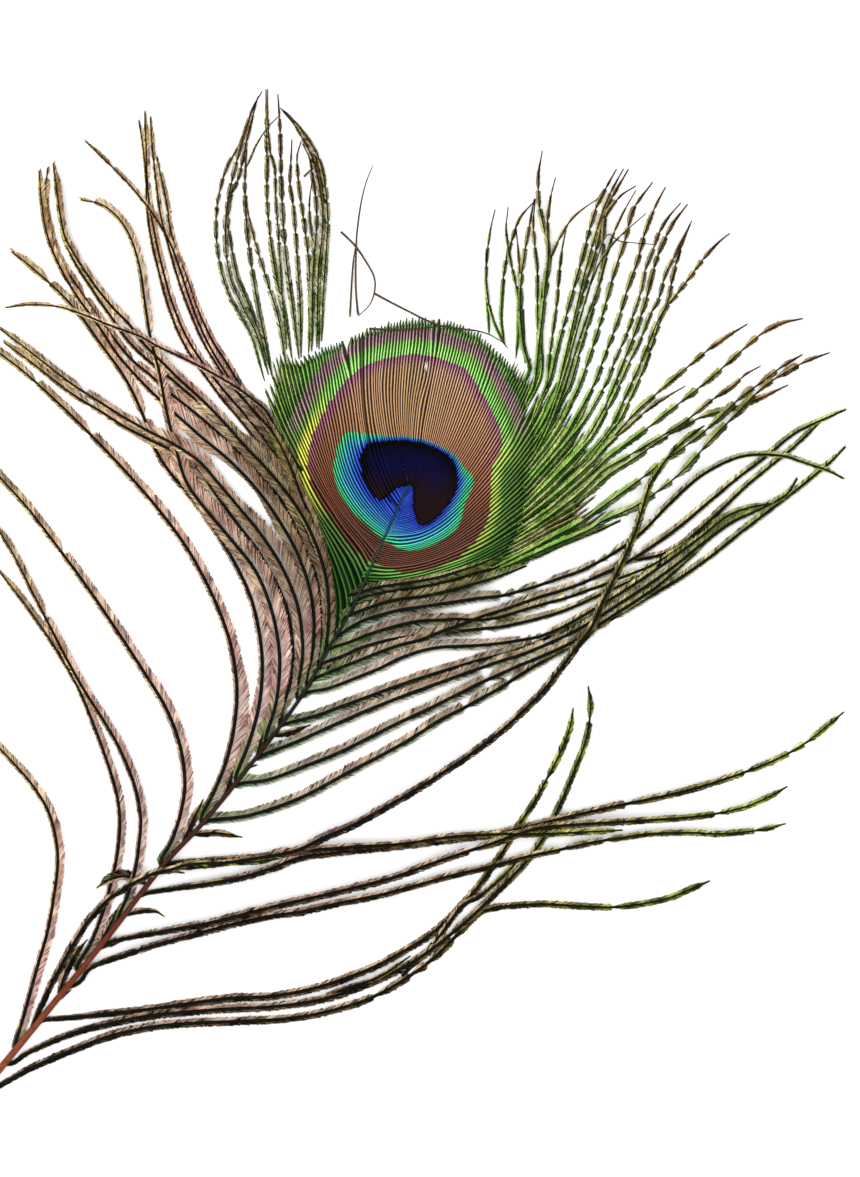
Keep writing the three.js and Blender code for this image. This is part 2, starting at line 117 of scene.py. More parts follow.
# The pointed tuft left of the eye.
LEFT_TUFT_BARBS = [
    (0, 1.0, [(262, 372), (252, 338), (240, 315), (229, 295), (220, 265), (216, 228), (219, 195),
     (228, 165), (240, 145), (252, 110), (262, 92)]),
    (2, 1.2, [(266, 366), (257, 335), (242, 305), (230, 275), (226, 235), (229, 200), (238, 160),
     (248, 125), (256, 106)]),
    (0, 1.2, [(271, 370), (264, 335), (257, 300), (250, 255), (246, 215), (245, 180), (247, 150)]),
    (1, 1.2, [(285, 358), (279, 320), (270, 290), (260, 258), (252, 230), (246, 200)]),
    (0, 1.2, [(291, 352), (285, 315), (276, 275), (270, 235), (267, 200), (267, 165), (266, 90)]),
    (0, 1.2, [(298, 350), (293, 310), (287, 265), (283, 220), (281, 170), (280, 130), (278, 95)]),
    (0, 1.2, [(309, 344), (311, 310), (309, 265), (305, 230), (300, 195), (297, 160), (301, 142)]),
    (0, 1.2, [(319, 340), (319, 300), (322, 260), (325, 225), (322, 185), (314, 152), (301, 130),
     (283, 111)]),
    (0, 1.1, [(268, 362), (258, 330), (247, 300), (237, 275), (232, 250), (228, 225), (230, 200),
     (238, 180), (243, 160), (247, 140), (252, 120), (258, 97)]),
    (1, 0.9, [(286, 340), (282, 290), (279, 240), (276, 200), (275, 170), (270, 150), (268, 120),
     (268, 90)]),
    (2, 0.5, [(250, 160), (257, 145), (267, 130), (280, 117)]),
    (0, 1.1, [(301, 348), (300, 300), (298, 270), (296, 240), (293, 205), (290, 185), (291, 160),
     (292, 140)]),
    (1, 1.1, [(312, 342), (313, 280), (315, 250), (317, 225), (316, 200), (313, 180), (310, 160),
     (303, 145)]),
    (2, 0.8, [(314, 260), (312, 235), (310, 220), (310, 200), (313, 180)]),
    (1, 1.1, [(317, 338), (318, 290), (319, 265), (322, 240), (323, 215), (320, 190), (316, 170),
     (311, 155), (303, 140), (294, 125), (283, 112)]),
    (2, 1.1, [(322, 332), (323, 303), (324, 290), (326, 260), (328, 230), (328, 215), (326, 190),
     (321, 165), (314, 150), (303, 133), (290, 117), (281, 110)])]

# The broad tuft right of the eye.
RIGHT_TUFT_BARBS = [
    (0, 1.0, [(504, 341), (501, 320), (502, 295), (505, 265), (512, 240), (520, 218), (536, 200)]),
    (1, 1.2, [(529, 370), (523, 345), (520, 310), (521, 280), (525, 250), (530, 222), (534, 200)]),
    (1, 1.2, [(536, 378), (539, 345), (543, 310), (547, 280), (549, 255), (544, 230), (539, 205),
     (538, 178), (542, 152)]),
    (0, 1.4, [(550, 380), (557, 350), (565, 320), (573, 290), (581, 262), (588, 235), (596, 208),
     (606, 188), (616, 170)]),
    (0, 1.4, [(562, 382), (569, 350), (577, 315), (586, 282), (596, 250), (602, 225), (609, 203),
     (628, 170)]),
    (1, 1.2, [(571, 383), (580, 350), (590, 318), (598, 290), (602, 262), (603, 238), (606, 216),
     (620, 197), (635, 187)]),
    (0, 1.4, [(580, 384), (590, 355), (598, 330), (606, 302), (615, 270), (625, 240), (633, 210),
     (652, 183)]),
    (0, 1.4, [(594, 384), (606, 352), (618, 320), (627, 290), (637, 262), (645, 232), (655, 207),
     (665, 188)]),
    (0, 1.4, [(608, 400), (621, 368), (634, 335), (645, 303), (652, 275), (660, 250), (672, 225),
     (687, 205)]),
    (0, 1.4, [(612, 425), (626, 395), (641, 362), (652, 335), (661, 315), (676, 295), (690, 277),
     (704, 258), (718, 243), (729, 234)]),
    (0, 0.8, [(489, 332), (487, 300), (486, 280), (487, 255), (490, 232), (495, 210)]),
    (1, 0.8, [(505, 345), (497, 330), (490, 310), (486, 285), (486, 250)]),
    (1, 0.9, [(516, 356), (518, 330), (518, 300), (514, 278), (509, 255), (506, 230), (508, 208)]),
    (0, 0.9, [(525, 362), (524, 350), (522, 310), (520, 280), (518, 250), (516, 228)]),
    (2, 1.1, [(534, 385), (538, 350), (542, 315), (545, 285), (548, 255), (547, 225), (550, 200),
     (555, 179)]),
    (1, 1.0, [(540, 372), (538, 335), (537, 300), (537, 270), (535, 250), (533, 225), (535, 200)]),
    (1, 0.9, [(541, 376), (541, 340), (541, 300), (545, 275), (553, 252), (563, 232), (573, 218),
     (585, 208), (597, 200)]),
    (0, 1.0, [(547, 384), (549, 360), (553, 330), (557, 300), (559, 275), (562, 250), (566, 230)]),
    (1, 1.2, [(556, 395), (563, 365), (570, 335), (577, 305), (584, 275), (591, 250), (598, 225),
     (605, 205), (613, 188), (623, 170)]),
    (2, 0.8, [(597, 290), (604, 265), (611, 240), (622, 215), (635, 192)]),
    (1, 1.2, [(605, 385), (615, 360), (626, 335), (634, 312), (641, 290), (645, 270), (652, 252),
     (658, 235), (668, 218), (680, 204)]),
    (1, 1.2, [(606, 412), (617, 390), (628, 365), (640, 340), (650, 315), (658, 300), (665, 275),
     (674, 257), (682, 240), (691, 222)]),
    (0, 1.2, [(612, 430), (620, 420), (632, 395), (643, 370), (652, 345), (660, 320), (668, 300),
     (673, 275), (680, 250), (690, 225)]),
    (3, 0.6, [(595, 272), (605, 255), (617, 240), (645, 215)]),
    (3, 0.3, [(605, 238), (620, 243), (652, 246)])]

# Barbs that leave the closed vane's right edge.
UPPER_RIGHT_BARBS = [
    (0, 1.4, [(609, 442), (635, 413), (655, 395), (672, 380), (690, 365), (708, 350), (725, 338),
     (746, 325)]),
    (0, 1.6, [(609, 457), (645, 430), (668, 412), (690, 395), (705, 383), (720, 370), (740, 352),
     (760, 335), (780, 324), (801, 319)]),
    (0, 1.6, [(609, 475), (632, 460), (658, 442), (680, 428), (702, 417), (722, 411), (745, 404),
     (765, 396), (786, 386)]),
    (1, 1.8, [(605, 505), (630, 487), (655, 468), (680, 450), (700, 435), (717, 420), (730, 407),
     (745, 394), (762, 382), (780, 368), (800, 356)]),
    (2, 1.8, [(605, 520), (632, 508), (655, 493), (678, 475), (697, 455), (715, 435), (735, 415),
     (750, 399), (766, 385), (783, 374), (805, 362), (827, 354)]),
    (1, 1.1, [(607, 446), (630, 425), (650, 408), (665, 398), (684, 387)]),
    (1, 1.3, [(604, 470), (630, 455), (655, 440), (680, 425), (697, 412), (712, 400), (730, 388),
     (745, 375), (759, 367)])]

# The lowest barbs on the shaft's right.
LOWER_RIGHT_BARBS = [
    (0, 2.2, [(-16, 1095), (6, 1082), (31, 1068), (70, 1051), (110, 1036), (150, 1027),
     (190, 1023), (240, 1021), (280, 1019), (310, 1015), (340, 1008), (370, 998), (400, 982),
     (430, 961), (455, 937), (475, 916), (490, 909), (508, 906), (543, 904), (580, 906),
     (612, 907), (640, 904), (668, 898), (690, 889), (709, 881)]),
    (0, 2.2, [(45, 1020), (75, 1017), (110, 1013), (150, 1009), (191, 1003), (230, 998),
     (271, 996), (310, 989), (340, 980), (371, 968), (400, 953), (425, 938), (445, 922),
     (462, 905), (480, 884), (497, 860), (510, 840), (522, 820), (534, 802), (545, 782),
     (559, 755), (569, 730), (573, 709)]),
    (1, 2.2, [(14, 1062), (31, 1051), (70, 1034), (110, 1023), (150, 1015), (190, 1011),
     (230, 1008), (271, 1006), (310, 1001), (345, 992), (380, 978), (410, 963), (435, 946),
     (460, 926), (478, 910), (495, 893), (515, 873), (530, 856), (546, 833), (556, 812),
     (565, 792), (575, 768), (584, 745), (589, 722), (590, 702), (588, 687)]),
    (2, 2.0, [(79, 982), (94, 966), (137, 950), (170, 940), (204, 931), (230, 924), (271, 915),
     (300, 911), (340, 902), (380, 894), (418, 884), (450, 875), (480, 868), (500, 863),
     (530, 855), (559, 849), (590, 842), (621, 837), (650, 833), (690, 832), (720, 833),
     (760, 829), (784, 823)]),
    (3, 2.2, [(106, 943), (137, 935), (180, 927), (217, 920), (271, 906), (310, 897), (340, 890),
     (380, 880), (400, 874), (430, 863), (465, 851), (490, 843), (515, 834), (540, 827),
     (570, 824), (600, 822), (650, 819), (700, 815), (740, 807), (765, 797), (785, 786)]),
    (2, 2.2, [(148, 893), (180, 887), (231, 879), (271, 868), (300, 857), (340, 851), (400, 845),
     (450, 839), (490, 834), (520, 828), (560, 818), (590, 811), (627, 803), (665, 795),
     (700, 786), (740, 773), (777, 758), (805, 742), (829, 723), (842, 712)]),
    (4, 2.2, [(168, 869), (190, 866), (220, 862), (250, 858), (280, 853), (300, 848), (325, 836),
     (351, 825), (375, 812), (400, 798), (425, 783), (453, 765), (475, 750), (500, 731),
     (523, 710), (542, 691), (560, 668), (575, 648), (590, 628), (600, 605), (610, 585),
     (622, 560), (633, 535), (641, 510), (648, 487), (658, 470), (672, 452), (688, 437),
     (702, 427)]),
    (4, 2.0, [(36, 1018), (45, 1000), (52, 985), (60, 970), (68, 955), (78, 938), (88, 922),
     (100, 908), (112, 896), (122, 890), (130, 884), (140, 879), (150, 874), (158, 871),
     (172, 868), (185, 864), (200, 862), (230, 861), (260, 860), (280, 857)]),
    (3, 2.0, [(163, 868), (172, 863), (200, 860), (230, 858), (260, 856), (280, 851), (300, 850),
     (350, 846), (400, 843), (450, 836), (500, 833), (540, 833), (621, 829)]),
    (1, 1.6, [(410, 968), (430, 948), (452, 918), (462, 905), (480, 895), (500, 878), (520, 858)]),
    (2, 1.4, [(320, 998), (345, 988), (380, 975), (410, 955)])]

# The barbs above them, up to the closed vane.
RIGHT_BARBS = [
    (0, 2.4, [(211, 820), (250, 815), (300, 798), (351, 771), (380, 756), (402, 744), (420, 733),
     (440, 720), (460, 710), (480, 699), (500, 688), (520, 675), (545, 660), (570, 646),
     (590, 633), (610, 620), (630, 608), (655, 593), (680, 578), (710, 557), (740, 533),
     (770, 510), (800, 487), (829, 463), (845, 447)]),
    (1, 2.4, [(243, 783), (270, 779), (310, 764), (340, 752), (370, 737), (400, 722), (430, 708),
     (460, 693), (480, 683), (500, 674), (520, 665), (540, 657), (560, 648), (580, 638),
     (600, 624), (620, 611), (640, 598), (660, 584), (690, 557), (715, 532), (740, 516),
     (772, 503)]),
    (2, 2.4, [(263, 755), (300, 740), (340, 722), (370, 709), (400, 697), (430, 686), (460, 675),
     (480, 668), (500, 661), (520, 655), (540, 647), (560, 638), (580, 628), (600, 616),
     (620, 603), (640, 590), (670, 569), (700, 545), (730, 523), (760, 509), (785, 495),
     (796, 479)]),
    (0, 2.2, [(285, 724), (315, 716), (340, 707), (370, 696), (400, 685), (430, 675), (460, 666),
     (480, 660), (500, 655), (520, 649), (540, 641), (560, 631), (580, 620), (600, 608),
     (630, 588), (660, 564), (690, 538), (720, 511), (745, 487), (768, 468), (795, 446),
     (822, 420)]),
    (1, 2.2, [(318, 677), (340, 668), (360, 660), (380, 652), (400, 645), (420, 640), (440, 632),
     (460, 625), (480, 617), (500, 611), (520, 604), (540, 597), (560, 591), (580, 584),
     (600, 575), (620, 566), (645, 551), (680, 526), (705, 505), (735, 480), (765, 457),
     (795, 433), (829, 417), (845, 410)]),
    (3, 2.0, [(309, 692), (325, 689), (340, 684), (360, 676), (380, 668), (400, 658), (420, 651),
     (440, 647), (460, 646), (480, 645), (500, 643), (520, 640), (540, 636), (560, 628),
     (580, 617), (600, 605), (620, 593), (640, 580), (670, 559), (700, 537), (725, 517),
     (748, 508), (771, 504)]),
    (2, 2.0, [(338, 636), (360, 622), (380, 615), (400, 610), (420, 607), (440, 604), (460, 601),
     (480, 598), (500, 596), (520, 591), (540, 585), (560, 578), (580, 571), (600, 561),
     (615, 552), (635, 538), (650, 524), (662, 511), (678, 495), (695, 480), (710, 470),
     (728, 461), (745, 456), (765, 455), (785, 457), (800, 462), (815, 467), (829, 472),
     (842, 479)]),
    (1, 2.0, [(334, 647), (350, 642), (370, 634), (400, 625), (420, 621), (440, 620), (460, 619),
     (480, 620), (500, 617), (520, 611), (540, 605), (566, 598), (580, 593), (600, 586),
     (620, 578), (650, 566), (670, 554), (690, 540)]),
    (0, 2.0, [(324, 663), (345, 655), (360, 648), (385, 641), (400, 638), (420, 635), (440, 633),
     (460, 631), (480, 629), (500, 627), (520, 623), (540, 618), (560, 612), (580, 604),
     (610, 590), (635, 579), (670, 560)]),
    (1, 2.0, [(346, 617), (360, 611), (380, 604), (400, 599), (420, 597), (440, 593), (460, 588),
     (480, 582), (500, 576), (526, 566)]),
    (0, 1.8, [(353, 603), (370, 595), (400, 590), (420, 587), (440, 583), (460, 578), (480, 572),
     (500, 567), (520, 561), (540, 555), (560, 546), (580, 538), (600, 530), (620, 521)]),
    (1, 1.6, [(358, 593), (380, 587), (400, 584), (420, 581), (440, 577), (460, 571), (480, 564),
     (500, 555)]),
    (0, 1.4, [(625, 562), (660, 555), (680, 545), (700, 533), (715, 522), (735, 511), (755, 506),
     (772, 503)])]

# Broken stubs of barbs on the shaft.
STUBS = [
    (0, 1.0, [(185, 838), (193, 820), (203, 800)]),
    (0, 1.0, [(225, 795), (229, 783), (233, 771)]),
    (0, 1.0, [(258, 752), (261, 741), (264, 730)]),
    (0, 0.9, [(280, 720), (282, 711), (284, 702)]),
    (0, 1.1, [(101, 942), (110, 925), (120, 905)]),
    (0, 1.0, [(60, 992), (65, 975), (75, 955), (87, 940)]),
    (0, 0.9, [(193, 835), (217, 833), (242, 837)]),
    (0, 0.8, [(129, 914), (140, 911), (155, 911), (164, 916)]),
    (0, 0.7, [(162, 872), (173, 871), (184, 873)]),
    (0, 0.6, [(248, 768), (257, 765)]),
    (0, 0.9, [(271, 737), (290, 732), (310, 725)]),
    (0, 0.6, [(307, 687), (316, 686)]),
    (0, 1.0, [(319, 669), (333, 666), (347, 661)]),
    (0, 0.8, [(104, 946), (113, 944), (122, 941)]),
    (0, 0.7, [(57, 1000), (64, 995), (71, 990)]),
    (1, 1.2, [(134, 878), (125, 876), (116, 877), (108, 880), (98, 887)])]

# Loose wisps above the eye, finer than any barb.
WISPS = [
    (1, 0.3, [(358, 315), (356, 290), (356, 260), (357, 235), (361, 205), (366, 184), (373, 166)]),
    (0, 0.3, [(350, 315), (353, 265), (357, 240)]),
    (1, 0.3, [(341, 232), (355, 246), (366, 262), (374, 277), (375, 290), (370, 305), (358, 317)]),
    (1, 0.3, [(375, 294), (407, 311), (440, 326), (480, 332), (500, 341), (508, 349)]),
    (1, 0.4, [(370, 329), (405, 330), (450, 326)]),
    (0, 0.3, [(304, 177), (310, 171), (319, 165)])]

# Guide barbs of the closed vane from the shaft outwards, round the eye from its lower left to
# its lower right. The barbs between two guides are evenly spaced.
VANE_GUIDES = [
    [(334, 634), (337, 610), (335, 587), (329, 562), (322, 538), (313, 514), (303, 491),
     (290, 467), (276, 446), (263, 429)],
    [(349, 609), (347, 592), (340, 570), (330, 547), (319, 525), (309, 503), (299, 480),
     (288, 457), (276, 436), (262, 416)],
    [(363, 583), (352, 560), (338, 539), (324, 519), (311, 497), (300, 474), (289, 452),
     (278, 431), (268, 412), (260, 395)],
    [(371, 566), (360, 547), (344, 527), (330, 506), (317, 485), (306, 463), (296, 440),
     (287, 418), (279, 396), (273, 376), (268, 358)],
    [(377, 553), (359, 533), (342, 513), (329, 492), (318, 470), (308, 447), (298, 424),
     (290, 400), (284, 376), (280, 354)],
    [(382, 543), (361, 528), (345, 507), (333, 485), (325, 462), (317, 438), (311, 414),
     (304, 390), (299, 370), (295, 358)],
    [(385, 536), (366, 522), (350, 503), (338, 482), (331, 460), (325, 436), (319, 411),
     (315, 387), (312, 366), (308, 353)],
    [(389, 528), (374, 513), (360, 495), (349, 474), (342, 451), (338, 426), (333, 401),
     (330, 377), (327, 358), (325, 345)],
    [(394, 516), (383, 500), (373, 482), (365, 463), (359, 443), (356, 420), (353, 398),
     (349, 378), (344, 358), (342, 339)],
    [(396, 513), (385, 497), (376, 480), (368, 462), (363, 442), (359, 420), (356, 398),
     (353, 375), (351, 355), (352, 336)],
    [(398, 508), (388, 495), (380, 478), (373, 460), (368, 440), (365, 420), (363, 400),
     (362, 375), (362, 350), (363, 329)],
    [(402, 499), (394, 483), (387, 466), (381, 446), (376, 425), (373, 400), (372, 376),
     (373, 350), (375, 326)],
    [(406, 491), (399, 474), (393, 455), (387, 435), (383, 410), (381, 386), (383, 362),
     (386, 340), (389, 321)],
    [(410, 487), (405, 468), (400, 447), (396, 425), (394, 400), (395, 375), (397, 350),
     (401, 318)],
    [(411, 486), (408, 465), (406, 443), (404, 420), (404, 398), (406, 370), (409, 345),
     (413, 317)],
    [(411, 487), (412, 467), (412, 446), (413, 425), (416, 400), (420, 380), (423, 362),
     (426, 345), (429, 317)],
    [(411, 488), (414, 468), (416, 447), (418, 425), (421, 402), (427, 380), (430, 362),
     (431, 345), (434, 317)],
    [(410, 489), (417, 470), (421, 449), (424, 426), (429, 400), (435, 370), (440, 344),
     (445, 319)],
    [(408, 493), (420, 475), (428, 454), (434, 430), (440, 405), (448, 374), (455, 349),
     (461, 323)],
    [(406, 497), (420, 483), (433, 462), (442, 438), (450, 413), (460, 382), (468, 355),
     (476, 329)],
    [(402, 505), (418, 495), (434, 476), (448, 455), (460, 430), (472, 401), (482, 370),
     (492, 342)],
    [(399, 511), (416, 503), (435, 484), (450, 464), (464, 440), (478, 411), (490, 382),
     (502, 351)],
    [(396, 518), (416, 511), (437, 493), (455, 472), (471, 447), (485, 420), (498, 393),
     (512, 361)],
    [(392, 526), (414, 521), (437, 505), (457, 484), (475, 458), (491, 431), (505, 404),
     (521, 372)],
    [(388, 535), (405, 535), (424, 531), (444, 519), (463, 502), (480, 483), (495, 464),
     (509, 443), (521, 420), (531, 398), (538, 380)],
    [(384, 543), (400, 546), (421, 542), (443, 531), (461, 515), (479, 497), (496, 479),
     (512, 460), (527, 440), (540, 419), (549, 398), (557, 383)],
    [(378, 552), (397, 556), (420, 551), (443, 543), (463, 529), (482, 513), (501, 496),
     (519, 479), (535, 460), (550, 440), (564, 418), (573, 400), (579, 388)],
    [(372, 564), (391, 567), (416, 564), (440, 557), (463, 547), (485, 535), (505, 521),
     (525, 506), (543, 488), (560, 470), (576, 452), (590, 432), (601, 410)],
    [(366, 577), (387, 577), (411, 574), (435, 568), (459, 560), (482, 550), (504, 538),
     (525, 525), (546, 511), (565, 495), (585, 477), (606, 456)],
    [(359, 592), (385, 593), (410, 588), (434, 582), (458, 574), (481, 566), (504, 555),
     (526, 544), (548, 531), (570, 520), (590, 507), (612, 490)],
    [(350, 612), (380, 603), (405, 600), (430, 597), (455, 590), (480, 581), (505, 571),
     (530, 560), (555, 547), (580, 535), (602, 520)]]
DARK_GUIDE = 10  # a dark barb that crosses the bronze
PARTING = 15  # the vane has split after this guide, so no barbs are added there

# Outlines of the eye's zones.
KIDNEY = [
    (362, 452), (370, 443), (395, 440), (422, 443), (440, 450), (452, 460), (458, 475), (456, 490),
    (448, 505), (435, 520), (422, 526), (415, 517), (413, 505), (412, 487), (405, 487),
    (395, 490), (388, 497), (380, 500), (372, 495), (363, 480), (361, 465)]
BLUE = [
    (345, 434), (337, 453), (334, 472), (339, 491), (353, 512), (372, 530), (381, 538), (402, 549),
    (418, 550), (441, 541), (458, 526), (465, 503), (474, 482), (465, 468), (450, 452),
    (425, 440), (395, 436), (360, 433)]
BRONZE = [
    (410, 355), (376, 361), (351, 376), (330, 403), (314, 434), (308, 459), (314, 491), (330, 516),
    (353, 547), (372, 562), (395, 570), (414, 573), (443, 566), (467, 549), (483, 530),
    (490, 505), (492, 468), (502, 447), (496, 419), (481, 392), (468, 372), (460, 366),
    (433, 357)]
EYE_MIDDLE = (405, 470)

# Places on the open barbs where barbules are missing.
NOTCHES = [
    (447, 693), (519, 663), (608, 617), (515, 591), (538, 585), (597, 564), (585, 582), (588, 590),
    (548, 605), (567, 597), (532, 641), (540, 635), (637, 575), (500, 592), (562, 640),
    (610, 617), (800, 740), (785, 750), (742, 767), (625, 803), (563, 812), (603, 838),
    (560, 848), (470, 852), (450, 938), (425, 962), (408, 973), (372, 995), (655, 566),
    (630, 521), (650, 520), (585, 522), (575, 505), (600, 500)]


def to_part(steps):
    """Sketch points as metres in the part's frame."""
    across, up = ((np.asarray(steps, float) - MIDDLE_STEPS) * (ROUTE_STEP, -ROUTE_STEP)).T
    lean_x, lean_y = math.cos(SHAFT_LEAN), math.sin(SHAFT_LEAN)
    return np.column_stack((across * lean_x - up * lean_y, across * lean_y + up * lean_x))


def distances_along(points):
    return np.r_[0, np.cumsum(np.linalg.norm(np.diff(points, axis=0), axis=1))]


def resampled(points, places):
    """Points of a line at these shares of its length."""
    run = distances_along(points)
    return np.column_stack([np.interp(np.asarray(places) * run[-1], run, c) for c in points.T])


def curve_through(points, closed=False, fineness=12):
    """Points close together on the smooth curve through a few."""
    if closed:
        padded = np.vstack((points[-1:], points, points[:2]))
    else:
        before, after = 2 * points[0] - points[1], 2 * points[-1] - points[-2]
        padded = np.vstack((before, points, after))
    t = np.linspace(0, 1, fineness, endpoint=False)[:, None]
    spans = [
        0.5 * (2 * b + (c - a) * t + (2 * a - 5 * b + 4 * c - d) * t**2
               + (3 * b - a - 3 * c + d) * t**3)
        for a, b, c, d in zip(padded, padded[1:], padded[2:], padded[3:])]
    return np.vstack(spans if closed else spans + [points[-1:]])


def smoothstep(share):
    share = np.clip(share, 0, 1)
    return share * share * (3 - 2 * share)


def placed(name, data):
    """A new object in the scene."""
    made = bpy.data.objects.new(name, data)
    bpy.context.scene.collection.objects.link(made)
    return made


# --- strands: polylines whose points carry sizes and places for the node trees to read


def strands_object(name, strands):
    """One mesh of polylines. A strand maps "points" to places and other names to values."""
    mesh = bpy.data.meshes.new(name)
    points = np.vstack([s["points"] for s in strands])
    starts = np.cumsum([0] + [len(s["points"]) for s in strands])
    edges = [(i, i + 1) for a, b in zip(starts, starts[1:]) for i in range(a, b - 1)]
    mesh.from_pydata(points.tolist(), edges, [])
    for key in strands[0]:
        if key != "points":
            layer = mesh.attributes.new(key, "FLOAT", "POINT")
            layer.data.foreach_set("value", np.concatenate([s[key] for s in strands]))
    return placed(name, mesh)


# --- node trees


class Nodes:
    """A node tree under construction."""

    def node(self, kind, sockets=(), **settings):
        """Adds a node, and links or sets the inputs that sockets names by name or number."""
        node = self.group.nodes.new(kind)
        for key, value in settings.items():
            setattr(node, key, value)
        for key, value in dict(sockets).items():
            if isinstance(value, bpy.types.NodeSocket):
                self.group.links.new(value, node.inputs[key])
            else:
                node.inputs[key].default_value = value
        return node

    def add(self, kind, sockets=(), **settings):
        """Adds a node and gives its outputs."""
        return self.node(kind, sockets, **settings).outputs

    def maths(self, operation, *values):
        return self.add("ShaderNodeMath", dict(enumerate(values)), operation=operation)[0]

    def product(self, first, *others):
        for other in others:
            first = self.maths("MULTIPLY", first, other)
        return first

    def vector(self, x, y, z):
        return self.add("ShaderNodeCombineXYZ", {0: x, 1: y, 2: z})[0]


class Tree(Nodes):
    """A Geometry Nodes tree under construction, with named inputs."""

    def __init__(self, name, inputs):
        self.group = bpy.data.node_groups.new(name, "GeometryNodeTree")
        face = self.group.interface
        face.new_socket("Geometry", in_out="OUTPUT", socket_type="NodeSocketGeometry")
        face.new_socket("Geometry", in_out="INPUT", socket_type="NodeSocketGeometry")
        for label, kind in inputs.items():
            face.new_socket(label, in_out="INPUT", socket_type=f"NodeSocket{kind}")
        self.inputs = self.group.nodes.new("NodeGroupInput").outputs

    def value(self, name):
        return self.add("GeometryNodeInputNamedAttribute", {"Name": name}, data_type="FLOAT")[0]

    def random(self, low, high, seed):
        seed = self.maths("ADD", self.inputs["Seed"], seed)
        sockets = {2: low, 3: high, "Seed": seed}
        return self.add("FunctionNodeRandomValue", sockets, data_type="FLOAT")[1]

    def store(self, geometry, name, value, domain="POINT"):
        sockets = {"Geometry": geometry, "Name": name, "Value": value}
        return self.add("GeometryNodeStoreNamedAttribute", sockets, domain=domain)[0]

    def painted(self, geometry, material):
        return self.add("GeometryNodeSetMaterial", {"Geometry": geometry, "Material": material})[0]

    def join(self, *geometries):
        node = self.group.nodes.new("GeometryNodeJoinGeometry")
        for geometry in geometries:
            self.group.links.new(geometry, node.inputs[0])
        return node.outputs[0]

    def end(self, geometry):
        real = self.add("GeometryNodeRealizeInstances", {"Geometry": geometry})[0]
        out = self.group.nodes.new("NodeGroupOutput")
        self.group.links.new(real, out.inputs[0])
        return self.group


def strand_curve(tree):
    curve = tree.add("GeometryNodeMeshToCurve", {"Mesh": tree.inputs["Geometry"]})[0]
    return tree.add("GeometryNodeSetCurveNormal", {"Curve": curve}, mode="Z_UP")[0]


def herl_tree():
    """Ribs along the strands, with a row of pointed barbules on each side.

    It reads from the strands: rib (its radius), left and right (how far the barbules reach).
    """
    tree = Tree("Barbs with barbules", {
        "Rib Step": "Float", "Barbule Step": "Float", "Barbule Width": "Float",
        "Left Splay": "Float", "Right Splay": "Float", "Unevenness": "Float", "Seed": "Int",
        "Left Barbule": "Object", "Right Barbule": "Object", "Rib Finish": "Material",
        "Left Finish": "Material", "Right Finish": "Material"})
    given = tree.inputs
    curve = strand_curve(tree)
    line = tree.add("GeometryNodeResampleCurve",
                    {"Curve": curve, "Length": given["Rib Step"]}, mode="LENGTH")[0]
    section = tree.add("GeometryNodeCurvePrimitiveCircle", {"Resolution": 6, "Radius": 1.0})[0]
    rib = tree.add("GeometryNodeCurveToMesh", {
        "Curve": line, "Profile Curve": section, "Scale": tree.value("rib"), "Fill Caps": True})[0]
    rib = tree.painted(rib, given["Rib Finish"])
    spots = tree.add("GeometryNodeResampleCurve",
                     {"Curve": curve, "Length": given["Barbule Step"]}, mode="LENGTH")[0]
    tangent = tree.add("GeometryNodeInputTangent")[0]
    rows = []
    for seed, side, splay, finish, tilts in (
            (1, "left", given["Left Splay"], given["Left Finish"], (0.0, 0.05)),
            (11, "right", given["Right Splay"], given["Right Finish"], (-0.02, 0.03))):
        swing = tree.maths("MULTIPLY_ADD", given["Unevenness"], tree.random(-1, 1, seed), splay)
        if side == "right":
            swing = tree.maths("MULTIPLY", swing, -1)
        ahead = tree.add("ShaderNodeVectorRotate", {"Vector": tangent, "Angle": swing},
                         rotation_type="Z_AXIS")[0]
        tilt = tree.vector(0, 0, tree.random(*tilts, seed + 1))
        ahead = tree.add("ShaderNodeVectorMath", {0: ahead, 1: tilt}, operation="ADD")[0]
        turn = tree.add("FunctionNodeAxesToRotation", {
            "Primary Axis": ahead, "Secondary Axis": (0, 0, 1)},
            primary_axis="Y", secondary_axis="Z")[0]
        reach = tree.maths("MULTIPLY", tree.value(side), tree.random(0.84, 1.04, seed + 2))
        width = tree.maths("MULTIPLY", given["Barbule Width"], tree.random(0.7, 1.3, seed + 3))
        blade = given[side.title() + " Barbule"]
        blade = tree.add("GeometryNodeObjectInfo", {"Object": blade})["Geometry"]
        long_enough = tree.add("FunctionNodeCompare", {0: reach, 1: 0.1 * MM},
                               operation="GREATER_THAN")[0]
        row = tree.add("GeometryNodeInstanceOnPoints", {
            "Points": spots, "Selection": long_enough, "Instance": blade, "Rotation": turn,
            "Scale": tree.vector(width, reach, width)})[0]
        row = tree.store(row, "tone", tree.random(0, 1, seed + 4), "INSTANCE")
        rows.append(tree.painted(row, finish))
    return tree.end(tree.join(rib, *rows))


